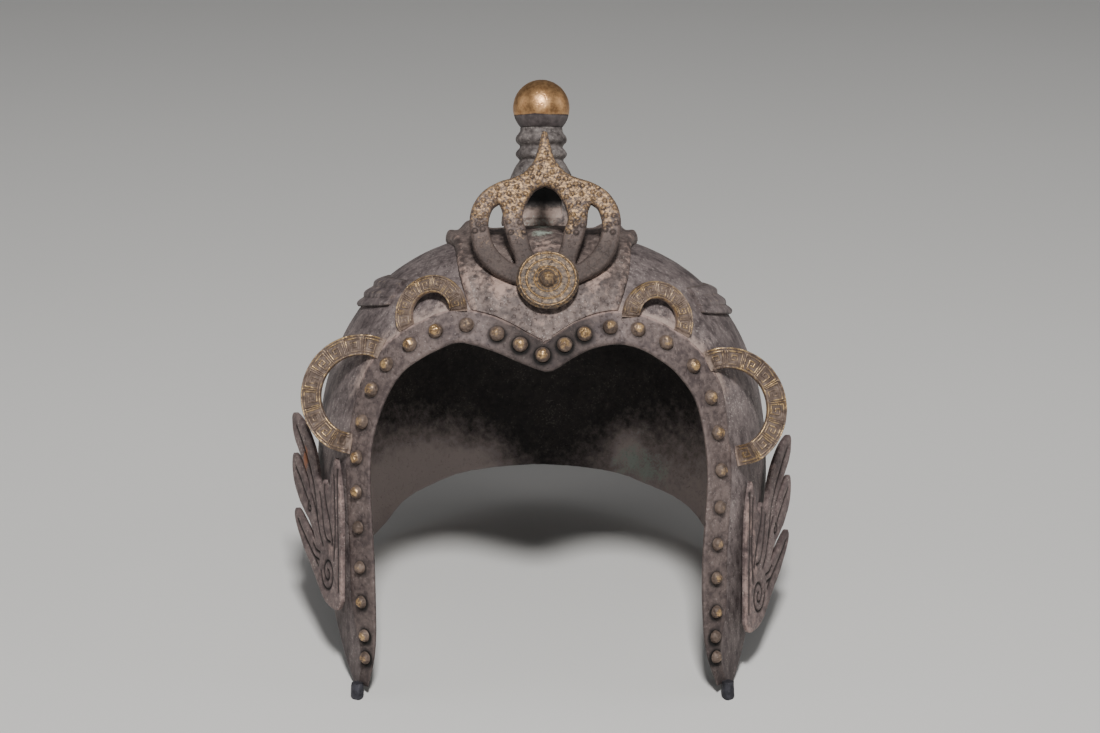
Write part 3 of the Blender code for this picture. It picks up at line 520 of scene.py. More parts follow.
domeFinish = bronze("domeBronze", dark=(72, 62, 62), mid=(137, 124, 121), streak=0.30)
# painted shade: the inside has darker bronze tones than the outside because it lies in shade; its
# dust colour also paints the light on the lower inside
shadedInsideFinish = bronze(
    "insideBronze", dark=(36, 33, 33), mid=(58, 53, 51), dust=(194, 178, 173),
    accent=(164, 176, 166), fleck=(132, 124, 118), flecks=0.3, metal=0.1, roughness=0.8,
    dustShare=0.9, patchy=0.32, bump=0.0002,
)
borderFinish = bronze(
    "borderBronze", dark=(76, 65, 64), mid=(124, 109, 104), dust=(172, 147, 138), flecks=0.2,
)
dustyFinish = bronze(
    "dustyBronze", dark=(76, 65, 62), mid=(130, 114, 107), dust=(184, 155, 141), patchSize=20,
    flecks=0.4,
)
crestFinish = bronze(
    "crestGilt", dark=(70, 59, 55), mid=(114, 98, 91), gilt=(186, 151, 108),
    giltDeep=(98, 79, 62), flecks=0.05, grainSize=1.2, roughness=0.60, giltRoughness=0.50,
    giltMetal=0.58,
)
discFinish = bronze(
    "discGilt", dark=(70, 60, 53), mid=(110, 95, 84), gilt=(182, 149, 106),
    giltDeep=(112, 91, 70), flecks=0.05, grainSize=1.5, leafSpread=0.7, roughness=0.58,
    giltRoughness=0.46, giltMetal=0.60,
)
bandFinish = bronze(
    "bandGilt", dark=(92, 76, 66), mid=(140, 121, 108), dust=(160, 138, 124),
    gilt=(196, 166, 122), giltDeep=(136, 112, 88), flecks=0.2, roughness=0.50,
)
ballFinish = bronze(
    "ballGilt", dark=(70, 62, 62), mid=(108, 99, 98), gilt=(216, 170, 120),
    giltDeep=(178, 132, 90), flecks=0.1, leafSpread=0.6, giltRoughness=0.40, giltMetal=0.92,
    bump=0.00006, pits=0.00005,
)
stemFinish = bronze(
    "stemBronze", dark=(70, 63, 62), mid=(134, 126, 122), accent=(182, 188, 178),
    shade=(6, 5, 5), shine=0.2,
)
wingFinish = bronze(
    "wingBronze", dark=(80, 67, 66), mid=(132, 115, 111), dust=(172, 146, 137),
    accent=(158, 98, 62),
)
studFinish = bronze(
    "studGilt", dark=(80, 67, 59), mid=(128, 110, 98), gilt=(204, 168, 120),
    giltDeep=(140, 112, 84), flecks=0.1, giltRoughness=0.36, bump=0.0001,
)
ironFinish = bronze(
    "darkIron", dark=(34, 33, 38), mid=(66, 65, 72), dust=(96, 90, 90), flecks=0.1,
    roughness=0.6,
)
print("finishes ready")

# Face opening and its border. out is a share of a half opening, up a share of its height.
face = {
    "halfLeft": 0.0865, "halfRight": 0.0815, "height": 0.1755, "setback": 0.0012,
    "sideWidth": 0.0133, "browWidth": 0.0168, "noseWidth": 0.0147, "tipWidth": 0.0058,
    "browFrom": 0.70, "browFull": 0.93, "footFrom": 0.02, "footFull": 0.26,
    "noseFrom": 0.06, "noseFull": 0.40, "thickness": 0.002, "sink": 0.0004,
    "shift": 0.0015, "steps": 401, "wave": 0.00012, "waveSize": 0.014,
    "backShares": (1.0, 0.66, 0.33, 0.0),
    "plainDust": -0.10, "edgeDust": 0.62, "browDust": 0.06, "rollDust": 0.12,
    # studRing is a painted shadow: a dark ring round each stud, centred a little below its middle
    "studRing": (0.52, 0.0039, 0.0013),  # strength, distance from the stud's middle, width
    "lowShade": 0.48, "lowShadeTo": 0.105, "noseShade": 0.58, "noseAside": (0.040, 0.010),
    "browHeight": (0.13, 0.175), "edgeAcross": (0.86, 0.97), "edgeBelow": 0.35,
    "rollRise": (0.05, 0.15), "rollHeight": (0.06, 0.12),
    "outline": (  # left out, left up, right out, right up
        (1.023, 0.007, 1.070, 0.007), (0.978, 0.135, 0.988, 0.135), (0.980, 0.350, 0.966, 0.350),
        (1.000, 0.600, 0.994, 0.600), (0.983, 0.724, 0.975, 0.724), (0.913, 0.834, 0.917, 0.834),
        (0.824, 0.909, 0.804, 0.909), (0.716, 0.952, 0.700, 0.948), (0.606, 0.981, 0.600, 0.975),
        (0.509, 0.999, 0.500, 0.991), (0.410, 0.992, 0.400, 0.994), (0.291, 0.973, 0.272, 0.982),
        (0.165, 0.946, 0.157, 0.957), (0.068, 0.927, 0.075, 0.932), (0.000, 0.919, 0.000, 0.919),
    ),
    "section": (  # share of the width from the opening, rise in millimetres
        (0.00, -1.60), (0.015, -0.75), (0.05, -0.10), (0.10, 0.22), (0.17, 0.30), (0.28, 0.16),
        (0.45, 0.02), (0.65, 0.00), (0.82, 0.06), (0.91, 0.24), (0.955, 0.26), (0.985, 0.02),
        (1.00, -0.70),
    ),
}


def faceOutline():
    # A curve through the table's places, from the left foot over the brow to the right foot.
    left, right = [], []
    for leftOut, leftUp, rightOut, rightUp in face["outline"]:
        shift = face["shift"] * (1 - min(1, leftOut))
        left.append((shift - leftOut * face["halfLeft"], leftUp * face["height"]))
        shift = face["shift"] * (1 - min(1, rightOut))
        right.append((shift + rightOut * face["halfRight"], rightUp * face["height"]))
    return smoothPath(left + right[::-1][1:], face["steps"])


def frontalNormals(line):
    # Unit normals of a frontal line, pointing away from the opening.
    along = np.gradient(line, axis=0)
    return unit(np.column_stack([-along[:, 1], along[:, 0]]))


def borderOutline(line):
    # The opening moved outwards by a width that grows at the brow and narrows at the foot.
    height = line[:, 1] / face["height"]
    brow = easeStep(face["browFrom"], face["browFull"], height)
    foot = 1 - easeStep(face["footFrom"], face["footFull"], height)
    width = between(face["sideWidth"], face["browWidth"], brow)
    width = width + (face["tipWidth"] - face["sideWidth"]) * foot
    aside = np.abs(line[:, 0] - face["shift"]) / face["halfLeft"]
    nose = 1 - easeStep(face["noseFrom"], face["noseFull"], aside)
    width = width + (face["noseWidth"] - face["browWidth"]) * nose * brow
    return line + frontalNormals(line) * width[:, None]


faceLine = faceOutline()
borderLine = borderOutline(faceLine)

# Skull
rim = {
    "backHeight": 0.094, "backLift": 0.0003, "tipHeight": 0.0012, "rough": 0.0003,
    "roughSize": 0.006, "roughHeight": (0.0, 0.02), "liftHeight": (0.06, 0.09),
    "rows": (  # plan angle, left up, right up
        (-36.0, 0.000, 0.000), (-32.0, 0.149, 0.149), (-28.5, 0.310, 0.310), (-24.6, 0.440, 0.440),
        (-17.0, 0.500, 0.500), (-9.7, 0.515, 0.515), (5.0, 0.530, 0.530), (20.0, 0.545, 0.545),
        (30.0, 0.575, 0.575), (39.5, 0.668, 0.735), (47.7, 0.802, 0.825), (56.6, 0.885, 0.888),
        (69.3, 0.965, 0.965), (90.0, 1.000, 1.000),
    ),
}
skull = {
    "rows": 92, "underBorder": 0.0013, "dent": 0.00022, "dentSize": 0.030,
    "hammer": 0.00006, "hammerSize": 0.009, "meanRadius": 0.115, "lead": 0.0015,
    "ends": (0.6, 0.3, 0.1, 0.0), "browDust": 0.14, "lowShade": 0.46, "lowShadeTo": 0.130,
    "borderDust": (0.52, 0.010), "seamDust": (0.25, 0.004),  # strength, reach
    # insideLow paints light, together with dust, on the lower inside wall
    "insideLow": 0.80, "insideHeight": (0.200, 0.050), "insideBack": (0.06, 0.15),
    "insideAside": (0.0, 0.07), "middleShare": 0.55, "browHeight": (0.12, 0.17),
    "dimples": (  # x, y, z, radius, depth in millimetres
        (-0.0473, 0.2071, 0.1407, 0.0035, 1.3), (-0.0456, 0.2102, 0.1216, 0.0035, 1.3),
        (0.0088, 0.2167, 0.1328, 0.0035, 1.2), (0.0088, 0.2185, 0.1113, 0.0035, 1.3),
        (-0.0355, 0.2046, 0.1619, 0.0034, 1.2), (0.0364, 0.2119, 0.1331, 0.0032, 0.9),
    ),
    "insideDust": (  # x, y, z, radius, strength
        (-0.080, 0.187, 0.080, 0.022, 0.40), (-0.060, 0.203, 0.086, 0.022, 0.30),
        (-0.030, 0.212, 0.092, 0.020, 0.26), (0.052, 0.206, 0.104, 0.010, 0.32),
        (0.0643, 0.1958, 0.1494, 0.005, 0.12), (-0.095, 0.160, 0.066, 0.020, 0.30),
    ),
    "insideAccent": (
        (0.0597, 0.2043, 0.0965, 0.013, 0.50), (0.048, 0.208, 0.097, 0.012, 0.40),
        (0.0720, 0.1975, 0.0900, 0.012, 0.42), (0.062, 0.199, 0.118, 0.012, 0.30),
    ),
}


def rimPoints(offset):
    # A curve through the table's heights at their plan angles, a little ragged.
    rows = np.array(rim["rows"])
    rise = rim["backHeight"] - rim["tipHeight"]
    angle = np.radians(rows[:, 0])
    left = onSection(angle, rim["tipHeight"] + rise * rows[:, 1], offset) * (-1, 1, 1)
    right = onSection(angle, rim["tipHeight"] + rise * rows[:, 2], offset)
    left[-1, 0] = right[-1, 0] = 0.0
    line = smoothPath(np.vstack([left, right[::-1][1:]]), face["steps"])
    worn = rim["rough"] * lumps(line, rim["roughSize"], 5)
    behind = easeStep(*rim["liftHeight"], line[:, 2]) * rim["backLift"]
    line[:, 2] += np.maximum(worn, 0) * easeStep(*rim["roughHeight"], line[:, 2]) + behind
    return line


def skullGrid(offset, recess, side):
    # Rows under the border, up its step, then along great arcs over the dome to the rim. The
    # last rows close the wall in a half round, and dents move each point along its ray.
    normals = frontalNormals(faceLine)
    edge = faceLine + normals * face["setback"]
    stepFoot = borderLine - normals * skull["underBorder"]
    stepTop = stepFoot + normals * fit["gap"]
    rows = []
    for share in (0.0, 0.5, 1.0):
        flat = between(edge, stepFoot, share)
        rows.append(onFront(flat[:, 0], flat[:, 1], offset - recess))
    start = unit(onFront(stepTop[:, 0], stepTop[:, 1], offset) - heart)
    end = unit(rimPoints(offset) - heart)
    turn = np.arccos(np.clip((start * end).sum(axis=1), -1, 1))
    lead = np.minimum(skull["lead"] / (turn * skull["meanRadius"]), 0.5)
    ends = np.array(skull["ends"])
    even = np.linspace(0, 1, skull["rows"])[:, None] * (1 - lead)
    share = np.vstack([even, 1 - ends[:, None] * lead])
    drop = np.concatenate([np.zeros(skull["rows"]), 1 - roundCap(1 - ends)])
    first = np.sin((1 - share) * turn)[..., None] * start
    direction = unit(first + np.sin(share * turn)[..., None] * end)
    near = heart + direction * skull["meanRadius"]
    dent = skull["dent"] * (0.5 + 0.5 * lumps(near, skull["dentSize"], 11))
    dent = dent + skull["hammer"] * lumps(near, skull["hammerSize"], 12)
    lift = offset - dent - side * drop[:, None] * dome["wall"] / 2
    if side < 0:
        table = [(x, y, z, r, d / 1000) for x, y, z, r, d in skull["dimples"]]
        wall = alongRays(direction, lift)
        lift = lift + spots(wall, table)
    body = alongRays(direction, lift)
    return np.concatenate([np.stack(rows), body]), share * turn * skull["meanRadius"]


def makeSkull():
    # The outer and the inner grid make one closed wall, whose inside has a finish of its own, a
    # darker copy of the bronze as painted shade.
    recess = face["thickness"] + face["sink"] + fit["curved"]
    outer, fromBorder = skullGrid(0.0, recess, 1)
    inner, _ = skullGrid(-dome["wall"], recess, -1)
    sections, faces = shellOf(outer.transpose(1, 0, 2), inner.transpose(1, 0, 2))
    across = outer.shape[0]
    pad = np.concatenate([np.zeros((3, face["steps"])), fromBorder]).T
    brow = easeStep(*skull["browHeight"], outer[..., 2].T)
    dustOut = skull["browDust"] * brow
    for share, (strength, reach) in ((brow, skull["borderDust"]), (1, skull["seamDust"])):
        dustOut = dustOut + strength * np.exp(-pad / reach) * share
    inside = inner.transpose(1, 0, 2)[:, ::-1]
    # painted light with dust: the lower inside, towards the back and the sides, is turned to the
    # pale dust colour where light falls in; the spots are real dust
    low = easeStep(*skull["insideHeight"], inside[..., 2])
    low *= easeStep(*skull["insideBack"], inside[..., 1])
    aside = easeStep(*skull["insideAside"], np.abs(inside[..., 0]))
    low *= between(skull["middleShare"], 1, aside)
    dustAndLightIn = spots(inside, skull["insideDust"]) + skull["insideLow"] * low
    accentIn = spots(inside, skull["insideAccent"])
    values = {
        "dust": frontAndRear(dustOut, dustAndLightIn),
        "accent": frontAndRear(np.full(dustOut.shape, -0.4), accentIn),
        "shade": skull["lowShade"] * easeStep(skull["lowShadeTo"], 0.0, sections[..., 2]),
    }
    piece = makePiece("skullShell", sections, faces, domeFinish, ["skull"], values)
    piece.data.materials.append(shadedInsideFinish)
    inner = np.zeros(len(piece.data.polygons), np.int32)
    quads = np.arange(len(inner)) % (2 * across)
    inner[quads >= across - 1] = 1
    inner[(face["steps"] - 1) * 2 * across:] = 0
    piece.data.polygons.foreach_set("material_index", inner)


makeSkull()
print("skull ready")


def makeBorder():
    # The section is carried along the opening: its front follows the dome with a rolled edge
    # on both sides, and its back lies flat in the skull's step.
    def carried(share, offset):
        flat = between(faceLine, borderLine, share)
        return onFront(flat[:, 0], flat[:, 1], offset)

    section = smoothPath([(a * 10, b) for a, b in face["section"]], 34)
    line = onFront(faceLine[:, 0], faceLine[:, 1])
    wave = lumps(line, face["waveSize"], 21) * face["wave"] - 0.0001
    rows = [carried(across / 10, rise / 1000 + wave) for across, rise in section]
    rows += [carried(share, -face["sink"] - face["thickness"]) for share in face["backShares"]]
    sections = np.stack(rows, axis=1)
    faces = tubeFaces(*sections.shape[:2])
    across = np.concatenate([section[:, 0] / 10, face["backShares"]])
    rise = np.concatenate([section[:, 1], np.full(len(face["backShares"]), -2.0)])
    height = sections[..., 2]
    brow = easeStep(*face["browHeight"], height)
    edge = easeStep(*face["edgeAcross"], across) * between(face["edgeBelow"], 1, brow)
    roll = easeStep(*face["rollRise"], rise) * easeStep(*face["rollHeight"], height)
    dust = face["edgeDust"] * edge + face["browDust"] * brow + face["plainDust"]
    dust = dust + face["rollDust"] * roll
    nose = face["noseShade"] * brow * easeStep(*face["noseAside"], np.abs(sections[..., 0]))
    low = face["lowShade"] * easeStep(face["lowShadeTo"], 0.0, height)
    # painted shadow round each stud, a ring of darkening set a little below the stud's middle
    strength, reach, width = face["studRing"]
    paintedShadeMarks = np.zeros(height.shape)
    for node in frame["nodes"]:
        if node.startswith("stud_"):
            away = sections - ownPoints(node).mean(axis=0) + (0, 0, 0.0007)
            away = np.linalg.norm(away, axis=-1)
            paintedShadeMarks = np.maximum(paintedShadeMarks, strength * bell((away - reach) / width))
    values = {"dust": dust, "shade": paintedShadeMarks + low + nose}
    makePiece(
        "studdedBorder", sections, faces, borderFinish, ["face_border"], values,
    )


makeBorder()

# Crown strap. across is a share of the half angle, roll a share of the rise of the edge rolls.
strap = {
    "halfAngle": 23.0, "waist": 0.09, "waistAt": 0.155, "waistReach": 0.095,
    "thickness": 0.0018, "rollRise": 0.0062, "napeAngle": 84.0, "rollAtBrow": 0.18,
    "rollAtNape": 0.25, "rollFrom": 0.10, "rollFull": 0.36, "fadeFrom": 0.80,
    "steps": 190, "acrossSteps": 45, "crowding": 1.15, "startShare": 0.12, "startFull": 0.07,
    "edgeRound": 0.6, "wear": 0.00009, "wearSize": 0.02, "plainDust": 0.08,
    "valleyFrom": 0.9, "lowShare": (0.34, 0.10), "lowValleyDust": 0.30, "highValleyDust": 0.26,
    "foldAt": 0.60, "foldWidth": 0.10, "foldDust": 0.20, "crownShare": (0.3, 0.45),
    "crownDust": -0.16, "endRound": (0.975, 1.0),
    # x, y, z, radius, strength
    "patina": ((0.000, 0.070, 0.2335, 0.010, 0.80), (-0.001, 0.050, 0.2300, 0.009, 0.80)),
    "pink": (
        (0.0, 0.034, 0.2250, 0.009, 0.50), (-0.020, 0.013, 0.206, 0.009, 0.62),
        (0.028, 0.017, 0.210, 0.008, 0.50), (-0.001, 0.003, 0.190, 0.009, 0.35),
        (-0.034, 0.020, 0.208, 0.007, 0.40), (0.016, 0.008, 0.200, 0.006, 0.30),
    ),
    "rows": (
        (0.00, 0.00), (0.25, 0.00), (0.50, 0.02), (0.60, 0.50), (0.72, 1.00), (0.84, 0.45),
        (0.93, 0.62), (1.00, 0.00),
    ),
}


def strapStart(angle):
    # The frontal place where a ray at this roll angle passes the border's outer edge.
    x, z = borderLine[:, 0], borderLine[:, 1] - dome["springHeight"]
    keep = z > 0
    roll = np.arctan2(z[keep], x[keep])
    order = np.argsort(roll)
    radius = np.interp(angle, roll[order], np.hypot(x[keep], z[keep])[order]) - fit["gap"]
    return radius * np.cos(angle), dome["springHeight"] + radius * np.sin(angle)


def strapAngle(across, share):
    # The strap is narrowest a little above the brow.
    dip = strap["waist"] * bell((share - strap["waistAt"]) / strap["waistReach"])
    return math.radians(90) - across * math.radians(strap["halfAngle"]) * (1 - dip)


def makeStrap():
    # Fans of rays over the crown: roll angle across, tip angle along. In front the edges draw
    # together, behind they run side by side, and the edge rolls swell over the crown.
    curve = smoothPath(strap["rows"], 400)
    half = 1 - (1 - np.linspace(0, 1, strap["acrossSteps"])) ** strap["crowding"]
    across = np.concatenate([-half[:0:-1], half])
    roll = np.interp(np.abs(across), curve[:, 0], curve[:, 1])
    x, z = strapStart(strapAngle(across, 0.0))
    front = onFront(x, z) - heart
    start = np.arctan2(front[:, 1], np.hypot(front[:, 0], front[:, 2]))
    end = math.radians(strap["napeAngle"])
    share = np.linspace(0, 1, strap["steps"])[:, None]
    angle = strapAngle(across, share)
    tip = between(start, end, share)
    ahead = tip < 0
    way = np.stack([
        np.cos(angle) * np.where(ahead, np.cos(tip), 1),
        np.sin(tip) * np.where(ahead, 1, np.sin(angle)),
        np.sin(angle) * np.cos(tip),
    ], axis=-1)
    fade = between(1, strap["rollAtNape"], easeStep(strap["fadeFrom"], 1, share))
    risen = easeStep(strap["rollFrom"], strap["rollFull"], share)
    grown = between(strap["rollAtBrow"], 1, risen * fade)
    near = heart + way * 0.12
    wear = strap["wear"] * (lumps(near, strap["wearSize"], 31) - 1)
    edge = 1 - strap["edgeRound"] * easeStep(*strap["endRound"], np.abs(across)) ** 2
    rise = (strap["thickness"] + wear) * edge + roll * strap["rollRise"] * grown + fit["strap"]
    started = easeStep(-0.02, strap["startFull"], share)
    rise = rise * between(strap["startShare"], 1, started)
    top = alongRays(way, rise)
    bottom = alongRays(way, -fit["strap"] + 0 * rise)
    sections, faces = shellOf(top, bottom)
    low = easeStep(*strap["lowShare"], share)
    valley = between(strap["highValleyDust"], strap["lowValleyDust"], low)
    valley = valley * (np.abs(across) > strap["valleyFrom"])
    fold = strap["foldDust"] * bell((np.abs(across) - strap["foldAt"]) / strap["foldWidth"])
    crown = strap["crownDust"] * easeStep(*strap["crownShare"], share)
    dust = strap["plainDust"] + valley + fold + crown + spots(top, strap["pink"])
    patch = spots(sections, strap["patina"]) - 0.12
    values = {"dust": frontAndRear(dust, dust), "accent": patch}
    makePiece("crownStrap", sections, faces, dustyFinish, ["crown_strap"], values)


makeStrap()

# Shoulder ribs, from their lower edge to their upper edge: shares of width and rise.
rib = {
    "height": 0.1998, "dropRight": 0.0040, "width": 0.0165, "rise": 0.0018, "base": 0.0008,
    "startAngle": -43.0, "strapClearance": 0.0060, "endShare": 0.35, "endWidth": 0.74,
    "steps": 170, "acrossSteps": 40, "knock": 0.00012, "knockSize": 0.012, "plainDust": 0.05,
    "valleyDust": 0.45, "valleyShade": 0.55, "valleyReed": (0.55, 0.15), "worn": 0.34,
    "wornReed": (0.6, 1.0), "wornShare": (0.45, 0.10),
    "rows": (
        (-1.00, 0.00), (-0.86, 0.50), (-0.68, 0.80), (-0.50, 0.52), (-0.38, 0.22), (-0.25, 0.60),
        (-0.02, 1.00), (0.20, 0.60), (0.33, 0.26), (0.46, 0.62), (0.66, 1.00), (0.86, 0.60),
        (1.00, 0.00),
    ),
}


def makeRib(side, word):
    # The reeded section runs round the dome at one height and sinks at both ends.
    top = rib["height"] + rib["width"] / 2
    edge = (top - dome["springHeight"]) * math.tan(math.radians(strap["halfAngle"]))
    edge += rib["strapClearance"]
    inward = (edge / halfWidth(np.array(top))) ** dome["planBack"]
    behind = backReach(np.array(top)) * (1 - inward) ** (1 / dome["planBack"])
    last = math.atan2(float(behind), edge)
    share = np.linspace(0, 1, rib["steps"])[:, None]
    angle = between(math.radians(rib["startAngle"]), last, share)
    full = np.sqrt(np.clip(np.sin(math.pi * share), 0, 1))
    curve = smoothPath(rib["rows"], 300)
    across = -np.cos(np.linspace(0, math.pi, rib["acrossSteps"]))
    reed = np.maximum(np.interp(across, curve[:, 0], curve[:, 1]), 0)
    height = rib["height"] - (rib["dropRight"] if side > 0 else 0.0)
    z = height + across * rib["width"] / 2 * between(rib["endWidth"], 1, full)
    grown = between(rib["endShare"], 1, full)
    angle = angle + 0 * across
    knock = lumps(onSection(angle, z), rib["knockSize"], 41) * rib["knock"]
    lift = fit["curved"] + rib["base"] * (1 - 0.5 * np.abs(across) ** 12)
    lift = lift + reed * rib["rise"] * grown * 0.97 + knock * reed
    outer = onSection(angle, z, lift) * (side, 1, 1)
    inner = onSection(angle, z, -fit["curved"] + 0 * lift) * (side, 1, 1)
    sections, faces = shellOf(outer, inner)
    dust = rib["plainDust"] + rib["valleyDust"] * (1 - reed) + 0 * share
    worn = rib["worn"] * easeStep(*rib["wornReed"], reed) * easeStep(*rib["wornShare"], share)
    # painted shade in the valleys between the reeds
    paintedHollowShade = rib["valleyShade"] * easeStep(*rib["valleyReed"], reed) + 0 * share
    values = {
        "dust": frontAndRear(dust, dust), "worn": frontAndRear(worn, 0 * worn),
        "shade": frontAndRear(paintedHollowShade, paintedHollowShade),
    }
    makePiece(
        "shoulderRib" + word.title(), sections, faces, domeFinish,
        ["shoulder_rib_" + word], values,
    )


for side, word in sides:
    makeRib(side, word)
print("border, strap and ribs ready")

# Crest, in its own leaning plane: shares of half width and height.
crest = {
    "halfWidth": 0.0378, "height": 0.0795, "thickness": 0.0035, "lean": 23.0, "cell": 0.00036,
    "edge": 0.0013, "roundness": 0.0022, "frontSlack": 0.0004, "foot": 0.06,
    "beadRadius": 0.00118, "beadRise": 0.0010, "beadGap": 0.0033, "darts": 5200,
    "edgeRoom": 0.0016, "gapRow": 0.0021, "gapRowWidth": 0.0004,
    "beadsFrom": 0.30, "thinTo": 0.37, "beadsTo": 0.88,  # shares of the height
    "leaf": 0.58, "leafHeight": (0.08, 0.54), "leafWander": 0.12, "leafSize": 0.012,
    "edgeLoss": 0.14, "edgeReach": (0.0008, 0.0), "lowDust": 0.16, "knock": 0.00007,
    # beadRing is painted shade round the foot of each bead
    "beadRing": 0.40, "beadRingWidth": 0.00045, "lowShade": 0.42, "lowHeight": (0.50, 0.14),
    "outline": (
        (0.000, 1.016), (0.036, 1.006), (0.058, 0.960), (0.098, 0.876), (0.157, 0.798),
        (0.290, 0.722), (0.440, 0.687), (0.640, 0.653), (0.827, 0.592), (0.950, 0.505),
        (1.000, 0.410), (0.990, 0.310), (0.945, 0.205), (0.850, 0.112), (0.720, 0.045),
        (0.560, 0.000), (0.360, -0.040), (0.000, -0.060),
    ),
    "middleHole": (
        (0.000, 0.632), (0.130, 0.600), (0.245, 0.515), (0.300, 0.415), (0.240, 0.312),
        (0.190, 0.204), (0.120, 0.150), (0.000, 0.140),
    ),
    "sideHole": (
        (0.610, 0.507), (0.700, 0.470), (0.750, 0.372), (0.700, 0.252), (0.590, 0.165),
        (0.400, 0.100), (0.480, 0.240), (0.550, 0.360), (0.570, 0.455),
    ),
}
crestAxes = axes(leaning=crest["lean"])


def crestLoops():
    # The outer edge and the middle gap, each mirrored from its right half, and two side gaps.
    size = np.array((crest["halfWidth"], crest["height"]))
    outer = smoothPath(np.array(crest["outline"]) * size, 90)
    middle = smoothPath(np.array(crest["middleHole"]) * size, 40)
    for half in (outer, middle):
        half[0, 0] = half[-1, 0] = 0.0
    closed = np.array(crest["sideHole"] + crest["sideHole"][:1]) * size
    sideHole = smoothPath(closed, 60)[:-1]
    mirror = np.array((-1, 1))
    loops = [np.vstack([half, half[-2:0:-1] * mirror]) for half in (outer, middle)]
    return loops + [sideHole, sideHole[::-1] * mirror]


def beadPlaces(loops):
    # Rows a set way in from each gap first, then darts thrown at what room is left.
    chance = np.random.default_rng(7)
    low, high = loops[0].min(axis=0), loops[0].max(axis=0)
    darts = chance.uniform(low, high, (crest["darts"], 2))
    reach, _ = loopDistance(darts, loops)
    fromGap, _ = loopDistance(darts, loops[1:])
    outOfRow = np.abs(np.abs(fromGap) - crest["gapRow"]) > crest["gapRowWidth"]
    order = np.argsort(outOfRow, kind="stable")
    kept = np.zeros((0, 2))
    for dart, away in zip(darts[order], reach[order]):
        up = dart[1] / crest["height"]
        if away < crest["edgeRoom"] or not crest["beadsFrom"] <= up <= crest["beadsTo"]:
            continue
        if up < crest["thinTo"] and chance.random() < 0.5:
            continue
        if len(kept) and np.linalg.norm(kept - dart, axis=1).min() < crest["beadGap"]:
            continue
        kept = np.vstack([kept, dart])
    return kept


def makeCrest():
    # The front rises from its edges in a quarter round and carries a half round for each bead.
    loops = crestLoops()
    beads = beadPlaces(loops)

    def beadShare(place):
        # 1 at the top of a bead, 0 outside it: the nearest bead's round cap.
        share = np.zeros(len(place))
        for bead in beads:
            away = np.linalg.norm(place - bead, axis=1) / crest["beadRadius"]
            share = np.maximum(share, roundCap(away))
        return share

    def depthAt(place, reach):
        rounded = roundCap(1 - np.clip(reach / crest["roundness"], 0, 1))
        base = between(crest["edge"], crest["thickness"] - crest["frontSlack"], rounded)
        knock = lumps(standing(place), 0.005, 51) * crest["knock"]
        return base + beadShare(place) * crest["beadRise"] + knock

    points, faces, place, reach = reliefPlate(loops, crest["cell"], depthAt)
    beaded = beadShare(place)
    up = place[:, 1] / crest["height"]
    ragged = up + crest["leafWander"] * lumps(standing(place), crest["leafSize"], 52)
    fade = easeStep(*crest["leafHeight"], ragged)
    leaf = crest["leaf"] - crest["edgeLoss"] * easeStep(*crest["edgeReach"], reach)
    worn = fade * (leaf - 0.04 * (beaded > 0) + 0.06 * beaded)
    dust = crest["lowDust"] * (1 - fade) + 0.02
    # painted shade: a dark ring round the foot of each bead, and darker towards the crest's lower
    # part
    toBead = np.min([np.linalg.norm(place - bead, axis=1) for bead in beads], axis=0)
    toShadeRing = (toBead - 1.15 * crest["beadRadius"]) / crest["beadRingWidth"]
    paintedShadeMarks = crest["beadRing"] * bell(toShadeRing) * (beaded < 0.5)
    paintedShadeMarks = paintedShadeMarks + crest["lowShade"] * easeStep(*crest["lowHeight"], up)
    values = {
        "worn": frontAndRear(worn, 0 * worn), "dust": frontAndRear(dust, dust),
        "shade": frontAndRear(paintedShadeMarks, 0 * paintedShadeMarks),
    }
    low, high = cadReach("crest", crestAxes)
    foot = np.array(((low[0] + high[0]) / 2, high[1], low[2] + crest["foot"] * crest["height"]))
    makePiece(
        "piercedCrest", (points + foot) @ crestAxes.T, faces, crestFinish, ["crest"],
        values,
    )


makeCrest()
print("crest ready")

# Roundel: radius as a share, rise in millimetres over the rear face.
roundel = {
    "radius": 0.0148, "drawnAt": 15.2, "steps": 160, "bossTo": 0.31, "field": 0.44,
    "ringLeaf": 0.80, "ringRise": (2.0, 2.4), "bossLoss": 0.05, "bossTip": 0.52,
    "tipRadius": (0.22, 0.02), "valleyShade": 0.28, "valleyRise": (2.05, 1.85),
    "bossShade": 0.30, "bossRadius": (0.22, 0.31), "knock": 0.00006,
    "rows": (
        (0.960, 0.00), (1.000, 1.60), (0.994, 2.20), (0.968, 2.55), (0.940, 2.55), (0.915, 2.15),
        (0.890, 1.92), (0.800, 1.98), (0.745, 1.92), (0.728, 2.20), (0.705, 2.42), (0.682, 2.20),
        (0.665, 1.88), (0.560, 1.95), (0.490, 1.88), (0.472, 2.16), (0.450, 2.40), (0.428, 2.16),
        (0.412, 1.86), (0.385, 1.90), (0.368, 2.12), (0.350, 2.26), (0.330, 2.06), (0.310, 1.80),
        (0.290, 1.90), (0.280, 2.50), (0.250, 3.60), (0.205, 4.70), (0.150, 5.70), (0.085, 6.50),
        (0.035, 6.95), (0.000, 7.10),
    ),
}


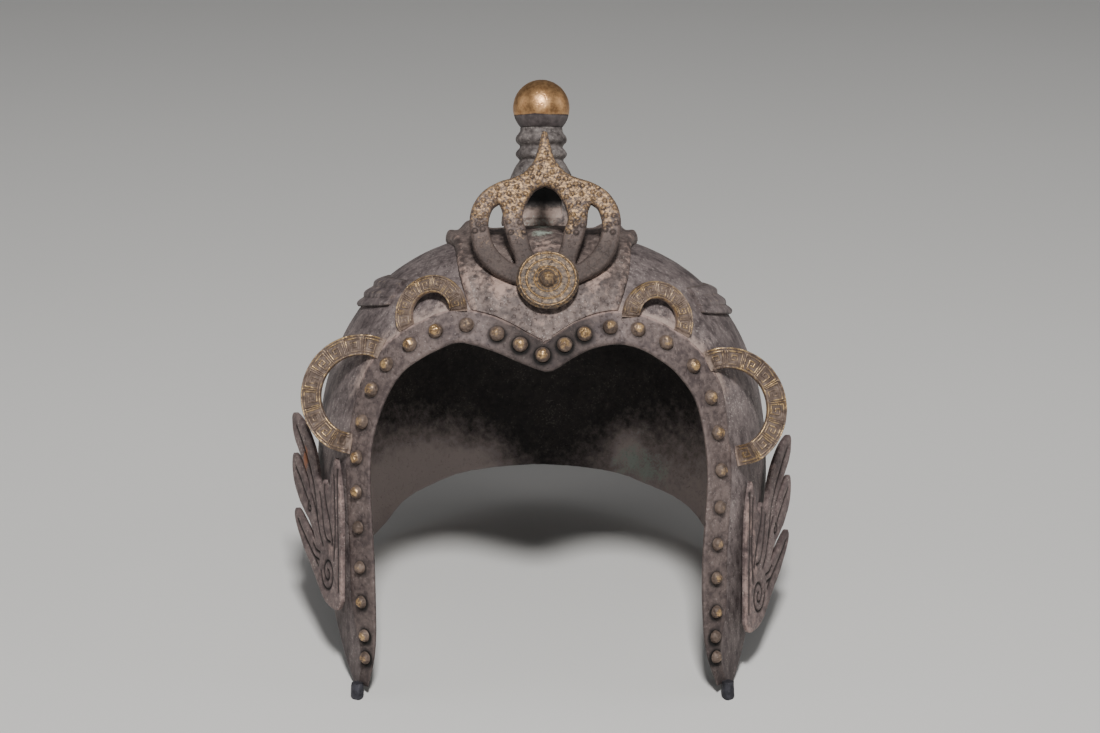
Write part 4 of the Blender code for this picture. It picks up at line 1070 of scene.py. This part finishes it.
def makeRoundel():
    # The profile is smoothed at the radius that its rows are drawn for, and then drawn in.
    drawnAt = roundel["drawnAt"]
    rows = [(0.0, 0.0)] + [(radius * drawnAt, rise) for radius, rise in roundel["rows"]]
    profile = smoothPath(rows, 150) / 1000 * (roundel["radius"] * 1000 / drawnAt, 1)
    profile[0, 0] = profile[-1, 0] = 0.0
    points, faces = turnedBody(profile, roundel["steps"])
    radius = np.hypot(points[:, 0], points[:, 1]) / roundel["radius"]
    boss = radius <= roundel["bossTo"]
    knock = lumps(points, 0.003, 61) * roundel["knock"]
    points[:, 2] += knock * (radius > 0.3) * (points[:, 2] > 0.001)
    curve = np.array(roundel["rows"])[::-1]
    rise = np.interp(radius, curve[:, 0], curve[:, 1])
    ridges = easeStep(*roundel["ringRise"], rise) * ~boss
    tip = roundel["bossTip"] * easeStep(*roundel["tipRadius"], radius) - roundel["bossLoss"]
    worn = roundel["field"] + roundel["ringLeaf"] * ridges + boss * tip
    # painted shade in the valleys between the rings and round the foot of the boss
    paintedHollowShade = roundel["valleyShade"] * easeStep(*roundel["valleyRise"], rise) * (radius > 0.3)
    paintedHollowShade = paintedHollowShade + roundel["bossShade"] * easeStep(*roundel["bossRadius"], radius) * boss
    values = {
        "worn": worn * (points[:, 2] > 0.0005), "shade": paintedHollowShade,
        "dust": 0.04 * (1 - ridges) * (radius > 0.3),
    }
    # The disc faces along the crest's own -Y, with its rear on the crest's front.
    flat = np.column_stack([points[:, 0], -points[:, 2], points[:, 1]])
    low, high = cadReach("roundel", crestAxes)
    seatAt = np.array(((low[0] + high[0]) / 2, high[1], (low[2] + high[2]) / 2))
    makePiece(
        "bossRoundel", (flat + seatAt) @ crestAxes.T, faces, discFinish, ["roundel"],
        values,
    )


makeRoundel()

# Finial: stem radius and height in millimetres over its foot.
finial = {
    "foot": 0.2348, "stemHeight": 0.0520, "ballRadius": 0.0152, "neckRadius": 0.0113,
    "nicheHalf": 0.0105, "nicheSill": 0.0035, "nicheHeight": 0.0200, "nicheBack": -0.0105,
    "giltFrom": -0.0040, "sunk": 0.0006, "steps": 220, "ballSteps": 150,
    "dust": 0.18, "lowDust": 0.40, "patina": 0.46, "plainPatina": -0.10, "sillPatina": 0.14,
    "nicheShade": 1.25, "darkHeight": (0.003, 0.018), "nicheWall": (-0.0002, 0.0004),
    "lipHeight": (0.0015, 0.0), "lowHeight": (0.014, 0.001), "insideHeight": (0.011, 0.006),
    "slopeTop": 0.0150, "knock": 0.00016, "ballKnock": 0.00006, "giltEdge": (-0.0006, 0.0006),
    "grooveWidth": 0.0005, "grooveDepth": 0.006,
    "rows": (
        (21.3, 0.0), (21.5, 1.2), (21.3, 2.6), (20.1, 10.4), (18.45, 18.7), (16.4, 26.0),
        (13.9, 31.4), (12.2, 34.0), (11.95, 34.9), (12.9, 35.9), (13.7, 37.1), (13.75, 38.3),
        (13.0, 39.7), (11.75, 41.0), (11.45, 41.9), (11.9, 42.8), (13.2, 44.1), (13.8, 45.6),
        (13.5, 47.2), (12.2, 48.9), (11.45, 50.2), (11.3, 52.0),
    ),
}


def makeFinial():
    # The stem is a turned profile. Where its front lies inside the arch of the niche, it is
    # pushed back to a flat wall.
    rows = smoothPath(finial["rows"], 130) / 1000
    profile = np.vstack([(0.0, 0.0), (0.012, 0.0), rows, (0.006, rows[-1, 1]), (0.0, rows[-1, 1])])
    points, faces = turnedBody(profile, finial["steps"])
    flatEnd = (points[:, 2] > 0.0005) & (points[:, 2] < finial["stemHeight"] - 0.001)
    radius = np.hypot(points[:, 0], points[:, 1])
    knock = lumps(points, 0.008, 71) * finial["knock"] * flatEnd
    points[:, :2] *= (1 + knock / np.maximum(radius, 1e-4))[:, None]
    lip = easeStep(*finial["lipHeight"], points[:, 2]) * (points[:, 1] < 0)
    points[:, 2] -= finial["sunk"] * lip
    springAt = finial["nicheSill"] + finial["nicheHeight"] - finial["nicheHalf"]
    x, y, z = points.T
    aside = finial["nicheHalf"] - np.hypot(x, np.maximum(z - springAt, 0))
    within = np.minimum(aside, z - finial["nicheSill"])
    niche = easeStep(*finial["nicheWall"], within) * (y < finial["nicheBack"])
    push = niche * (1 - easeStep(finial["slopeTop"], finial["nicheSill"], z))
    points[:, 1] = between(y, finial["nicheBack"], push)
    low = easeStep(*finial["lowHeight"], z) * (y < 0)
    lowInside = easeStep(*finial["insideHeight"], z) * niche
    dark = easeStep(*finial["darkHeight"], z)
    values = {
        "dust": finial["dust"] + finial["lowDust"] * (low + lowInside),
        "accent": finial["plainPatina"] + finial["patina"] * low + finial["sillPatina"] * lowInside,
        "shade": finial["nicheShade"] * niche * dark,
    }
    stand = np.array((0, dome["widestAt"], finial["foot"]))
    makePiece(
        "finialStem", points + stand, faces, stemFinish, ["finial_stem"], values,
    )

    # The ball is cut off flat below, where it sits on the neck.
    sink = math.sqrt(finial["ballRadius"] ** 2 - finial["neckRadius"] ** 2)
    low = -math.asin(sink / finial["ballRadius"])
    angle = np.linspace(low, math.pi / 2, 90)
    radius = finial["ballRadius"] * np.cos(angle)
    profile = np.column_stack([radius, finial["ballRadius"] * np.sin(angle)])
    profile[-1, 0] = 0.0
    profile = np.vstack([(0.0, -sink), (0.005, -sink), profile])
    points, faces = turnedBody(profile, finial["ballSteps"])
    knock = (lumps(points, 0.007, 72) - 1) * finial["ballKnock"]
    points[:, :2] *= (1 + knock / finial["ballRadius"])[:, None]
    above = points[:, 2] - finial["giltFrom"]
    gilt = easeStep(*finial["giltEdge"], above + lumps(points, 0.01, 73) * 0.0003)
    groove = bell(above / finial["grooveWidth"])
    points[:, :2] *= (1 - finial["grooveDepth"] * groove)[:, None]
    values = {"worn": 1.7 * gilt - 0.5, "dust": 0.1 - 0.8 * gilt, "shade": 0.6 * groove}
    stand = stand + (0, 0, finial["stemHeight"] + fit["gap"] + sink)
    makePiece(
        "finialBall", points + stand, faces, ballFinish, ["finial_ball"], values,
    )


makeFinial()
print("roundel and finial ready")

# Curled bands with a key fret. angles run round the arc, the fret repeats in square cells.
bands = {
    "temple": {
        "radius": 0.0253, "width": 0.0104, "from": 66.0, "to": 261.0, "turn": 12.0, "lean": 8.0,
        "cells": 9, "steps": 500, "ridge": 0.00046, "seed": 83,
    },
    "brow": {
        "radius": 0.0148, "width": 0.0088, "from": 4.0, "to": 210.0, "turn": 24.0, "lean": 13.0,
        "cells": 7, "steps": 360, "ridge": 0.00040, "seed": 82,
    },
    "thickness": 0.0026, "rim": 0.0009, "relief": 0.0005, "round": 0.0009, "knock": 0.00005,
    "bend": 0.009, "bendShare": 0.13, "taperShare": 0.028, "acrossSteps": 62,
    "leaf": 0.12, "ridgeLeaf": 0.46, "fieldDust": 0.30, "fieldShade": 0.34, "tipDust": 0.50,
    "tipLoss": 0.4, "tipShare": (0.035, 0.0), "wear": 0.16, "wearSize": 0.010,
    "reliefShare": (0.0, 0.03), "roundWidth": 0.00035, "barHeight": 0.9, "barWidth": 0.8,
    "fret": (  # one cell's spiral, from its outer end inwards: shares of the cell
        (-0.40, -0.42), (-0.40, 0.38), (0.38, 0.38), (0.38, -0.38), (-0.16, -0.38),
        (-0.16, 0.14), (0.15, 0.14), (0.15, -0.12), (0.0, -0.12),
    ),
}


def makeBand(kind, side, word):
    # Sections stand across an arc. The front of each is a field with raised rims, ridges along
    # the fret's lines and a bar between its cells, each a round of the distance to its line.
    band = bands[kind]
    half = band["width"] / 2
    across = -half * np.cos(np.linspace(0, math.pi, bands["acrossSteps"])) * 0.35
    across += np.linspace(-half, half, bands["acrossSteps"]) * 0.65
    share = np.linspace(0, 1, band["steps"])[:, None]
    angle = np.radians(between(band["from"], band["to"], share))
    cell = np.minimum(np.floor(share * band["cells"]), band["cells"] - 1)
    along = (share * band["cells"] - cell - 0.5) * np.where(cell % 2 == 0, 1, -1)
    length = abs(math.radians(band["to"] - band["from"])) * band["radius"] / band["cells"]
    tall = band["width"] - 2 * bands["rim"]
    place = np.stack([along * length + 0 * across, across + 0 * along], axis=-1)
    line = np.array(bands["fret"]) * (length, tall)
    ridge = roundCap(lineDistance(place, line) / band["ridge"])
    toBar = (0.5 - np.abs(along)) * length + 0 * across
    bar = bands["barHeight"] * roundCap(toBar / (band["ridge"] * bands["barWidth"]))
    rims = easeStep(half - 0.0011, half - 0.0008, np.abs(across))
    toEnd = np.minimum(share, 1 - share)
    raised = np.maximum(np.maximum(ridge, bar), rims)
    raised = raised * easeStep(*bands["reliefShare"], toEnd)
    x = -side * (band["radius"] + across) * np.cos(angle)
    z = (band["radius"] + across) * np.sin(angle)
    near = np.stack([x, 0 * x, z], axis=-1)
    depth = bands["thickness"] - bands["relief"] * (1 - raised)
    edge = easeStep(half - bands["roundWidth"], half, np.abs(across))
    depth = depth - bands["round"] * edge**2
    depth = depth + (lumps(near, 0.004, 81) - 1) * bands["knock"]
    depth = depth * between(0.25, 1, easeStep(0.0, bands["taperShare"], toEnd))
    front = np.stack([x, -depth, z], axis=-1)
    rear = front[:, [-1, 0]] * (1, 0, 1)
    sections = np.concatenate([front, rear], axis=1)
    faces = tubeFaces(*sections.shape[:2])
    wear = bands["wear"] * lumps(near, bands["wearSize"], band["seed"])
    tips = easeStep(*bands["tipShare"], toEnd)
    worn = bands["leaf"] + bands["ridgeLeaf"] * raised + 1.5 * wear - bands["tipLoss"] * tips
    dust = bands["fieldDust"] * (1 - raised) - wear + bands["tipDust"] * tips
    behind = np.zeros((band["steps"], 2))
    values = {
        "worn": frontAndRear(worn, behind - 1), "dust": frontAndRear(dust, behind + 0.3),
        "shade": frontAndRear(bands["fieldShade"] * (1 - raised), behind),
    }
    node = kind + "_band_" + word
    turn = axes(side * band["turn"], band["lean"])
    low, high = cadReach(node, turn)
    outer = band["radius"] + half
    centre = np.array((high[0] - outer if side > 0 else low[0] + outer, high[1], high[2] - outer))
    stood = (sections + centre) @ turn.T
    # Both ends bend back until their rear meets the dome.
    rearAt = stood[:, -2:].mean(axis=1)
    gap = onFront(rearAt[:, 0], rearAt[:, 2])[:, 1] - rearAt[:, 1]
    bent = np.clip(gap, 0, bands["bend"]) * easeStep(bands["bendShare"], 0.0, toEnd)[:, 0]
    stood[..., 1] += bent[:, None]
    makePiece(
        kind + "Band" + word.title(), stood, faces, bandFinish, [node], values,
    )


for side, word in sides:
    makeBand("temple", side, word)
    makeBand("brow", side, word)
print("bands ready")

# Wings: back is a share of the depth, up a share of the height.
wing = {
    "depth": 0.0590, "height": 0.0972, "thickness": 0.0024, "flare": 30.0, "cell": 0.00046,
    "groove": 0.0026, "grooveDepth": 0.0016, "dirt": 0.0016, "knock": 0.00008,
    "knockSize": 0.007, "dust": 0.16, "dustWander": 0.16, "dustSize": 0.014,
    "edgeDust": 0.13, "edgeReach": (0.0015, 0.0004), "innerBack": (0.34, 0.14),
    "innerDust": (0.16, 0.27),  # left, right
    "cutShade": 0.95, "cutDust": -0.30,
    "stainStrength": 1.3, "stainReach": (0.0046, 0.0090),  # back, up
    "outline": (
        (0.00, 0.052), (0.10, 0.000), (0.31, 0.023), (0.43, 0.076), (0.60, 0.184), (0.78, 0.290),
        (0.93, 0.407), (0.955, 0.470), (0.88, 0.483), (0.68, 0.401), (0.54, 0.338), (0.60, 0.407),
        (0.74, 0.476), (0.86, 0.539), (0.97, 0.635), (1.00, 0.735), (0.95, 0.783), (0.80, 0.727),
        (0.63, 0.595), (0.66, 0.661), (0.79, 0.754), (0.95, 0.864), (1.00, 0.963), (0.94, 1.000),
        (0.76, 0.952), (0.60, 0.862), (0.50, 0.767), (0.42, 0.629), (0.34, 0.672), (0.27, 0.619),
        (0.14, 0.778), (0.08, 0.762), (0.00, 0.534),
    ),
    "grooves": (  # cut lines: feather quills, then the leaves, hooks and short strokes
        ((0.90, 0.930), (0.78, 0.850), (0.66, 0.756), (0.55, 0.640), (0.50, 0.534), (0.47, 0.439)),
        ((0.92, 0.710), (0.80, 0.635), (0.68, 0.550)),
        ((0.88, 0.430), (0.74, 0.349), (0.58, 0.269), (0.46, 0.206)),
        ((0.33, 0.640), (0.31, 0.565), (0.25, 0.484), (0.19, 0.389), (0.17, 0.340)),
        ((0.42, 0.597), (0.40, 0.561), (0.37, 0.470), (0.33, 0.396), (0.28, 0.354), (0.22, 0.350)),
        ((0.58, 0.576), (0.52, 0.513), (0.46, 0.439), (0.42, 0.375), (0.36, 0.322)),
        ((0.56, 0.317), (0.50, 0.290), (0.43, 0.280)),
        ((0.58, 0.270), (0.52, 0.248), (0.45, 0.240)),
        ((0.07, 0.735), (0.07, 0.523), (0.06, 0.311), (0.06, 0.100)),
        ((0.14, 0.700), (0.12, 0.523), (0.12, 0.386), (0.15, 0.258)),
    ),
    # centre back and up, radius, stretch up, turns
    "spirals": ((0.27, 0.185, 0.0078, 1.25, 2.0), (0.63, 0.507, 0.0026, 1.2, 1.2)),
    "stain": (0.70, 0.770),  # back, up
}


def makeWing(side, word):
    # Each feather swells between the cut lines: the front's height is a quarter round of the
    # distance to the nearest of them.
    scale = np.array((wing["depth"], wing["height"]))
    outline = smoothPath(np.array(wing["outline"] + wing["outline"][:1]) * scale, 300)[:-1]
    lines = [smoothPath(np.array(line) * scale, 16) for line in wing["grooves"]]
    for back, up, radius, tall, turns in wing["spirals"]:
        share = np.linspace(0.14, 1, 60)
        angle = share * turns * 2 * np.pi
        curl = np.column_stack([np.cos(angle), tall * np.sin(angle)])
        lines.append(np.array((back, up)) * scale + curl * (share * radius)[:, None])

    def toCut(place):
        return np.min([lineDistance(place, line) for line in lines], axis=0)

    def depthAt(place, reach):
        away = np.minimum(reach + 0.0005, toCut(place) + 0.0001)
        swell = roundCap(1 - np.clip(away / wing["groove"], 0, 1))
        knock = lumps(standing(place), wing["knockSize"], 91) * wing["knock"]
        return wing["thickness"] - wing["grooveDepth"] * (1 - swell) + knock

    points, faces, place, reach = reliefPlate([outline], wing["cell"], depthAt)
    # cut is 1 on the cut lines and 0 at the dirt width from them: it paints shade into the cuts and
    # takes dust off them
    cut = np.clip(1 - toCut(place) / wing["dirt"], 0, 1)
    inner = easeStep(*wing["innerBack"], place[:, 0] / wing["depth"])
    dust = wing["dust"] + inner * wing["innerDust"][side > 0] + wing["cutDust"] * cut
    dust = dust + wing["dustWander"] * lumps(standing(place), wing["dustSize"], 92)
    dust = dust + wing["edgeDust"] * easeStep(*wing["edgeReach"], reach)
    stain = np.full(len(place), -1.0)
    if side < 0:
        spot = (place - np.array(wing["stain"]) * scale) / wing["stainReach"]
        stain = wing["stainStrength"] * np.exp(-(spot**2).sum(axis=1)) - 0.35
    values = {
        "dust": frontAndRear(dust, 0 * dust + 0.2), "accent": frontAndRear(stain, 0 * stain - 1),
        "shade": frontAndRear(wing["cutShade"] * cut, 0 * cut),
    }
    flare = math.radians(wing["flare"])
    turn = np.array((
        (side * math.sin(flare), -side * math.cos(flare), 0),
        (math.cos(flare), math.sin(flare), 0),
        (0, 0, 1),
    ))
    node = "wing_" + word
    low, high = cadReach(node, turn)
    corner = np.array((low[0], high[1], low[2]))
    makePiece(
        "feather" + word.title(), (points + corner) @ turn.T, faces, wingFinish, [node],
        values, sharp=50,
    )


for side, word in sides:
    makeWing(side, word)
print("wings ready")

# Studs: radius and rise as shares of the head. Each takes its place from its CAD solid.
stud = {
    "radius": 0.0038, "height": 0.0040, "steps": 30, "dent": 0.00020, "dentSize": 0.0022,
    "lowSize": 0.86, "upperHeight": (0.06, 0.15), "dentFrom": (0.05, 0.3), "rub": 0.22,
    "lowWorn": -0.14, "topWorn": 0.62, "topFrom": (0.30, 0.95), "footWorn": -0.50,
    "footTo": (0.3, 0.0), "footDust": 0.25, "dustTo": (0.5, 0.1), "footShade": 0.36,
    "shadeTo": (0.35, 0.0),
    "rows": (
        (1.00, 0.00), (1.00, 0.10), (0.97, 0.28), (0.90, 0.46), (0.78, 0.63), (0.62, 0.78),
        (0.43, 0.89), (0.22, 0.97), (0.00, 1.00),
    ),
}


def makeStud(node, number):
    # A turned dome, dented by lumps, standing square on the skull at the CAD head's middle.
    profile = smoothPath([(0.0, 0.0)] + list(stud["rows"]), 20) * (stud["radius"], stud["height"])
    profile[0] = (0.0, 0.0)
    profile[-1, 0] = 0.0
    points, faces = turnedBody(profile, stud["steps"])
    high = points[:, 2] / stud["height"]
    dents = lumps(points, stud["dentSize"], 100 + number, 14) * easeStep(*stud["dentFrom"], high)
    points *= (1 + (dents - 1) * stud["dent"] / stud["radius"])[:, None]
    corners = ownPoints(node)
    middle = corners.mean(axis=0)
    upper = float(easeStep(*stud["upperHeight"], middle[2]))
    points *= between(stud["lowSize"], 1, upper)
    normal = outward(middle)
    base = middle + normal * ((corners - middle) @ normal).min()
    turn = np.array(Vector(normal).to_track_quat("Z", "Y").to_matrix())
    rub = np.random.default_rng(number).uniform(-stud["rub"], stud["rub"])
    worn = rub + stud["lowWorn"] * (1 - upper) + stud["topWorn"] * easeStep(*stud["topFrom"], high)
    values = {
        "worn": worn + stud["footWorn"] * easeStep(*stud["footTo"], high),
        "dust": stud["footDust"] * easeStep(*stud["dustTo"], high),
        "shade": stud["footShade"] * easeStep(*stud["shadeTo"], high),
    }
    parts = node.split("_")
    name = parts[0] + "".join(part.title() for part in parts[1:])
    makePiece(name, points @ turn.T + base, faces, studFinish, [node], values, 70)


for number, node in enumerate(sorted(n for n in frame["nodes"] if n.startswith("stud_"))):
    makeStud(node, number)

# Foot stubs, with flat feet on the floor
stub = {
    "steps": 40, "rows": 14, "knock": 0.00035, "knockSize": 0.0035, "into": 0.0015, "heel": 1.0,
    "dust": 0.15, "shape": ((0, 0.12, 0.5, 1), (0.80, 0.94, 0.98, 0.90)),  # heights, radii
}


def makeStub(side, word):
    # A lumpy post between the floor and the CAD stub's flat top, on the CAD stub's own axis,
    # drawn out behind into a heel under the cheek plate's tip.
    node = "foot_stub_" + word
    low, high = cadReach(node, np.eye(3))
    middle = (low + high) / 2
    radius = (high[0] - low[0]) / 2
    up = np.concatenate([[0, 0], np.linspace(0, 1, stub["rows"]), [1, 1]])
    wide = np.interp(up, *stub["shape"])
    wide[:2], wide[-2:] = (0, 0.4), (0.4, 0)
    points, faces = turnedBody(np.column_stack([wide, up]), stub["steps"])
    share = points[:, 2].copy()
    bumpy = lumps(points * 0.004, stub["knockSize"], 111 + side)
    bumpy = np.minimum(1 + bumpy * stub["knock"] / radius, 1.02)
    points[:, 1] *= 1 + stub["heel"] * (points[:, 1] > 0)
    flat = points[:, :2] * radius * bumpy[:, None] + middle[:2]
    # The foot lies in the floor's plane: its height follows the lean.
    floor = (-restShift[2] + math.sin(lean) * flat[:, 1]) / math.cos(lean)
    z = between(floor, high[2] + stub["into"], share)
    values = {"dust": stub["dust"]}
    makePiece(
        "footStub" + word.title(), np.column_stack([flat, z]), faces, ironFinish, [node],
        values, 50,
    )


for side, word in sides:
    makeStub(side, word)
print("studs and stubs ready")

# Floor, lights and camera
studio = {  # each light: place, target, size, power
    "floor": (222, 220, 216), "floorSize": 8.0, "floorCloud": 4, "floorRoughness": 0.85,
    "air": (0.92, 0.95, 1.0), "airStrength": 0.10,
    "key": ((0.02, -1.00, 1.62), (0.0, -0.02, 0.15), 0.22, 36.0),
    "left": ((-1.70, 0.10, 0.80), (0.0, 0.0, 0.16), 1.1, 4.0),
    "right": ((1.70, 0.10, 0.80), (0.0, 0.0, 0.16), 1.1, 4.5),
    "front": ((0.0, -1.80, 0.50), (0.0, 0.0, 0.13), 1.3, 4.0),
}
view = {
    "target": (0.00245, 0.0, 0.1641), "distance": 1.036, "elevation": 3.0, "yaw": -1.2,
    "lens": 69.2,
}


def makeStage():
    half = studio["floorSize"] / 2
    mesh = bpy.data.meshes.new("floor")
    corners = [(-half, -half, 0), (half, -half, 0), (half, half, 0), (-half, half, 0)]
    mesh.from_pydata(corners, [], [(0, 1, 2, 3)])
    pale = bpy.data.materials.new("paleFloor")
    pale.use_nodes = True
    tree = pale.node_tree
    start = Wire(tree)
    place = start.add("ShaderNodeTexCoord", outlet=3)
    cloud = start.add("ShaderNodeTexNoise", None, {"Vector": place, "Scale": 3.0, "Detail": 2.0})
    low = paint(*(c - studio["floorCloud"] for c in studio["floor"]))
    colour = cloud.blend(low, paint(*studio["floor"]))
    shader = tree.nodes["Principled BSDF"]
    tree.links.new(colour.socket, shader.inputs["Base Color"])
    shader.inputs["Roughness"].default_value = studio["floorRoughness"]
    mesh.materials.append(pale)
    floor = addObject("floor", mesh)


def makeLight(name):
    # A square lamp that faces its target.
    at, target, size, power = studio[name]
    lamp = bpy.data.lights.new(name + "Light", "AREA")
    lamp.shape = "SQUARE"
    lamp.size = size
    lamp.energy = power
    holder = addObject(name + "Light", lamp)
    holder.location = at
    holder.rotation_euler = (Vector(target) - Vector(at)).to_track_quat("-Z", "Y").to_euler()


def makeCamera():
    # The photograph looks along the upright helmet's own level, so the camera leans with it.
    up, turn = math.radians(view["elevation"]), math.radians(view["yaw"])
    away = np.array((math.sin(turn) * math.cos(up), -math.cos(turn) * math.cos(up), math.sin(up)))
    target = np.array(view["target"])
    eye = toWorld(target + away * view["distance"])
    forward = Vector(-(leanBack @ away))
    right = forward.cross(Vector(leanBack @ (0, 0, 1))).normalized()
    above = right.cross(forward)
    lens = bpy.data.cameras.new("camera")
    lens.lens = view["lens"]
    lens.sensor_width = 36.0
    lens.clip_start = 0.01
    camera = addObject("camera", lens)
    turned = Matrix((right, above, -forward)).transposed().to_4x4()
    camera.matrix_world = Matrix.Translation(Vector(eye)) @ turned
    bpy.context.scene.camera = camera


makeStage()
for name in ("key", "left", "right", "front"):
    makeLight(name)
makeCamera()
world = bpy.data.worlds.new("studioAir")
world.use_nodes = True
air = world.node_tree.nodes["Background"]
air.inputs["Color"].default_value = (*studio["air"], 1.0)
air.inputs["Strength"].default_value = studio["airStrength"]
bpy.context.scene.world = world
print("stage, lights and camera ready")
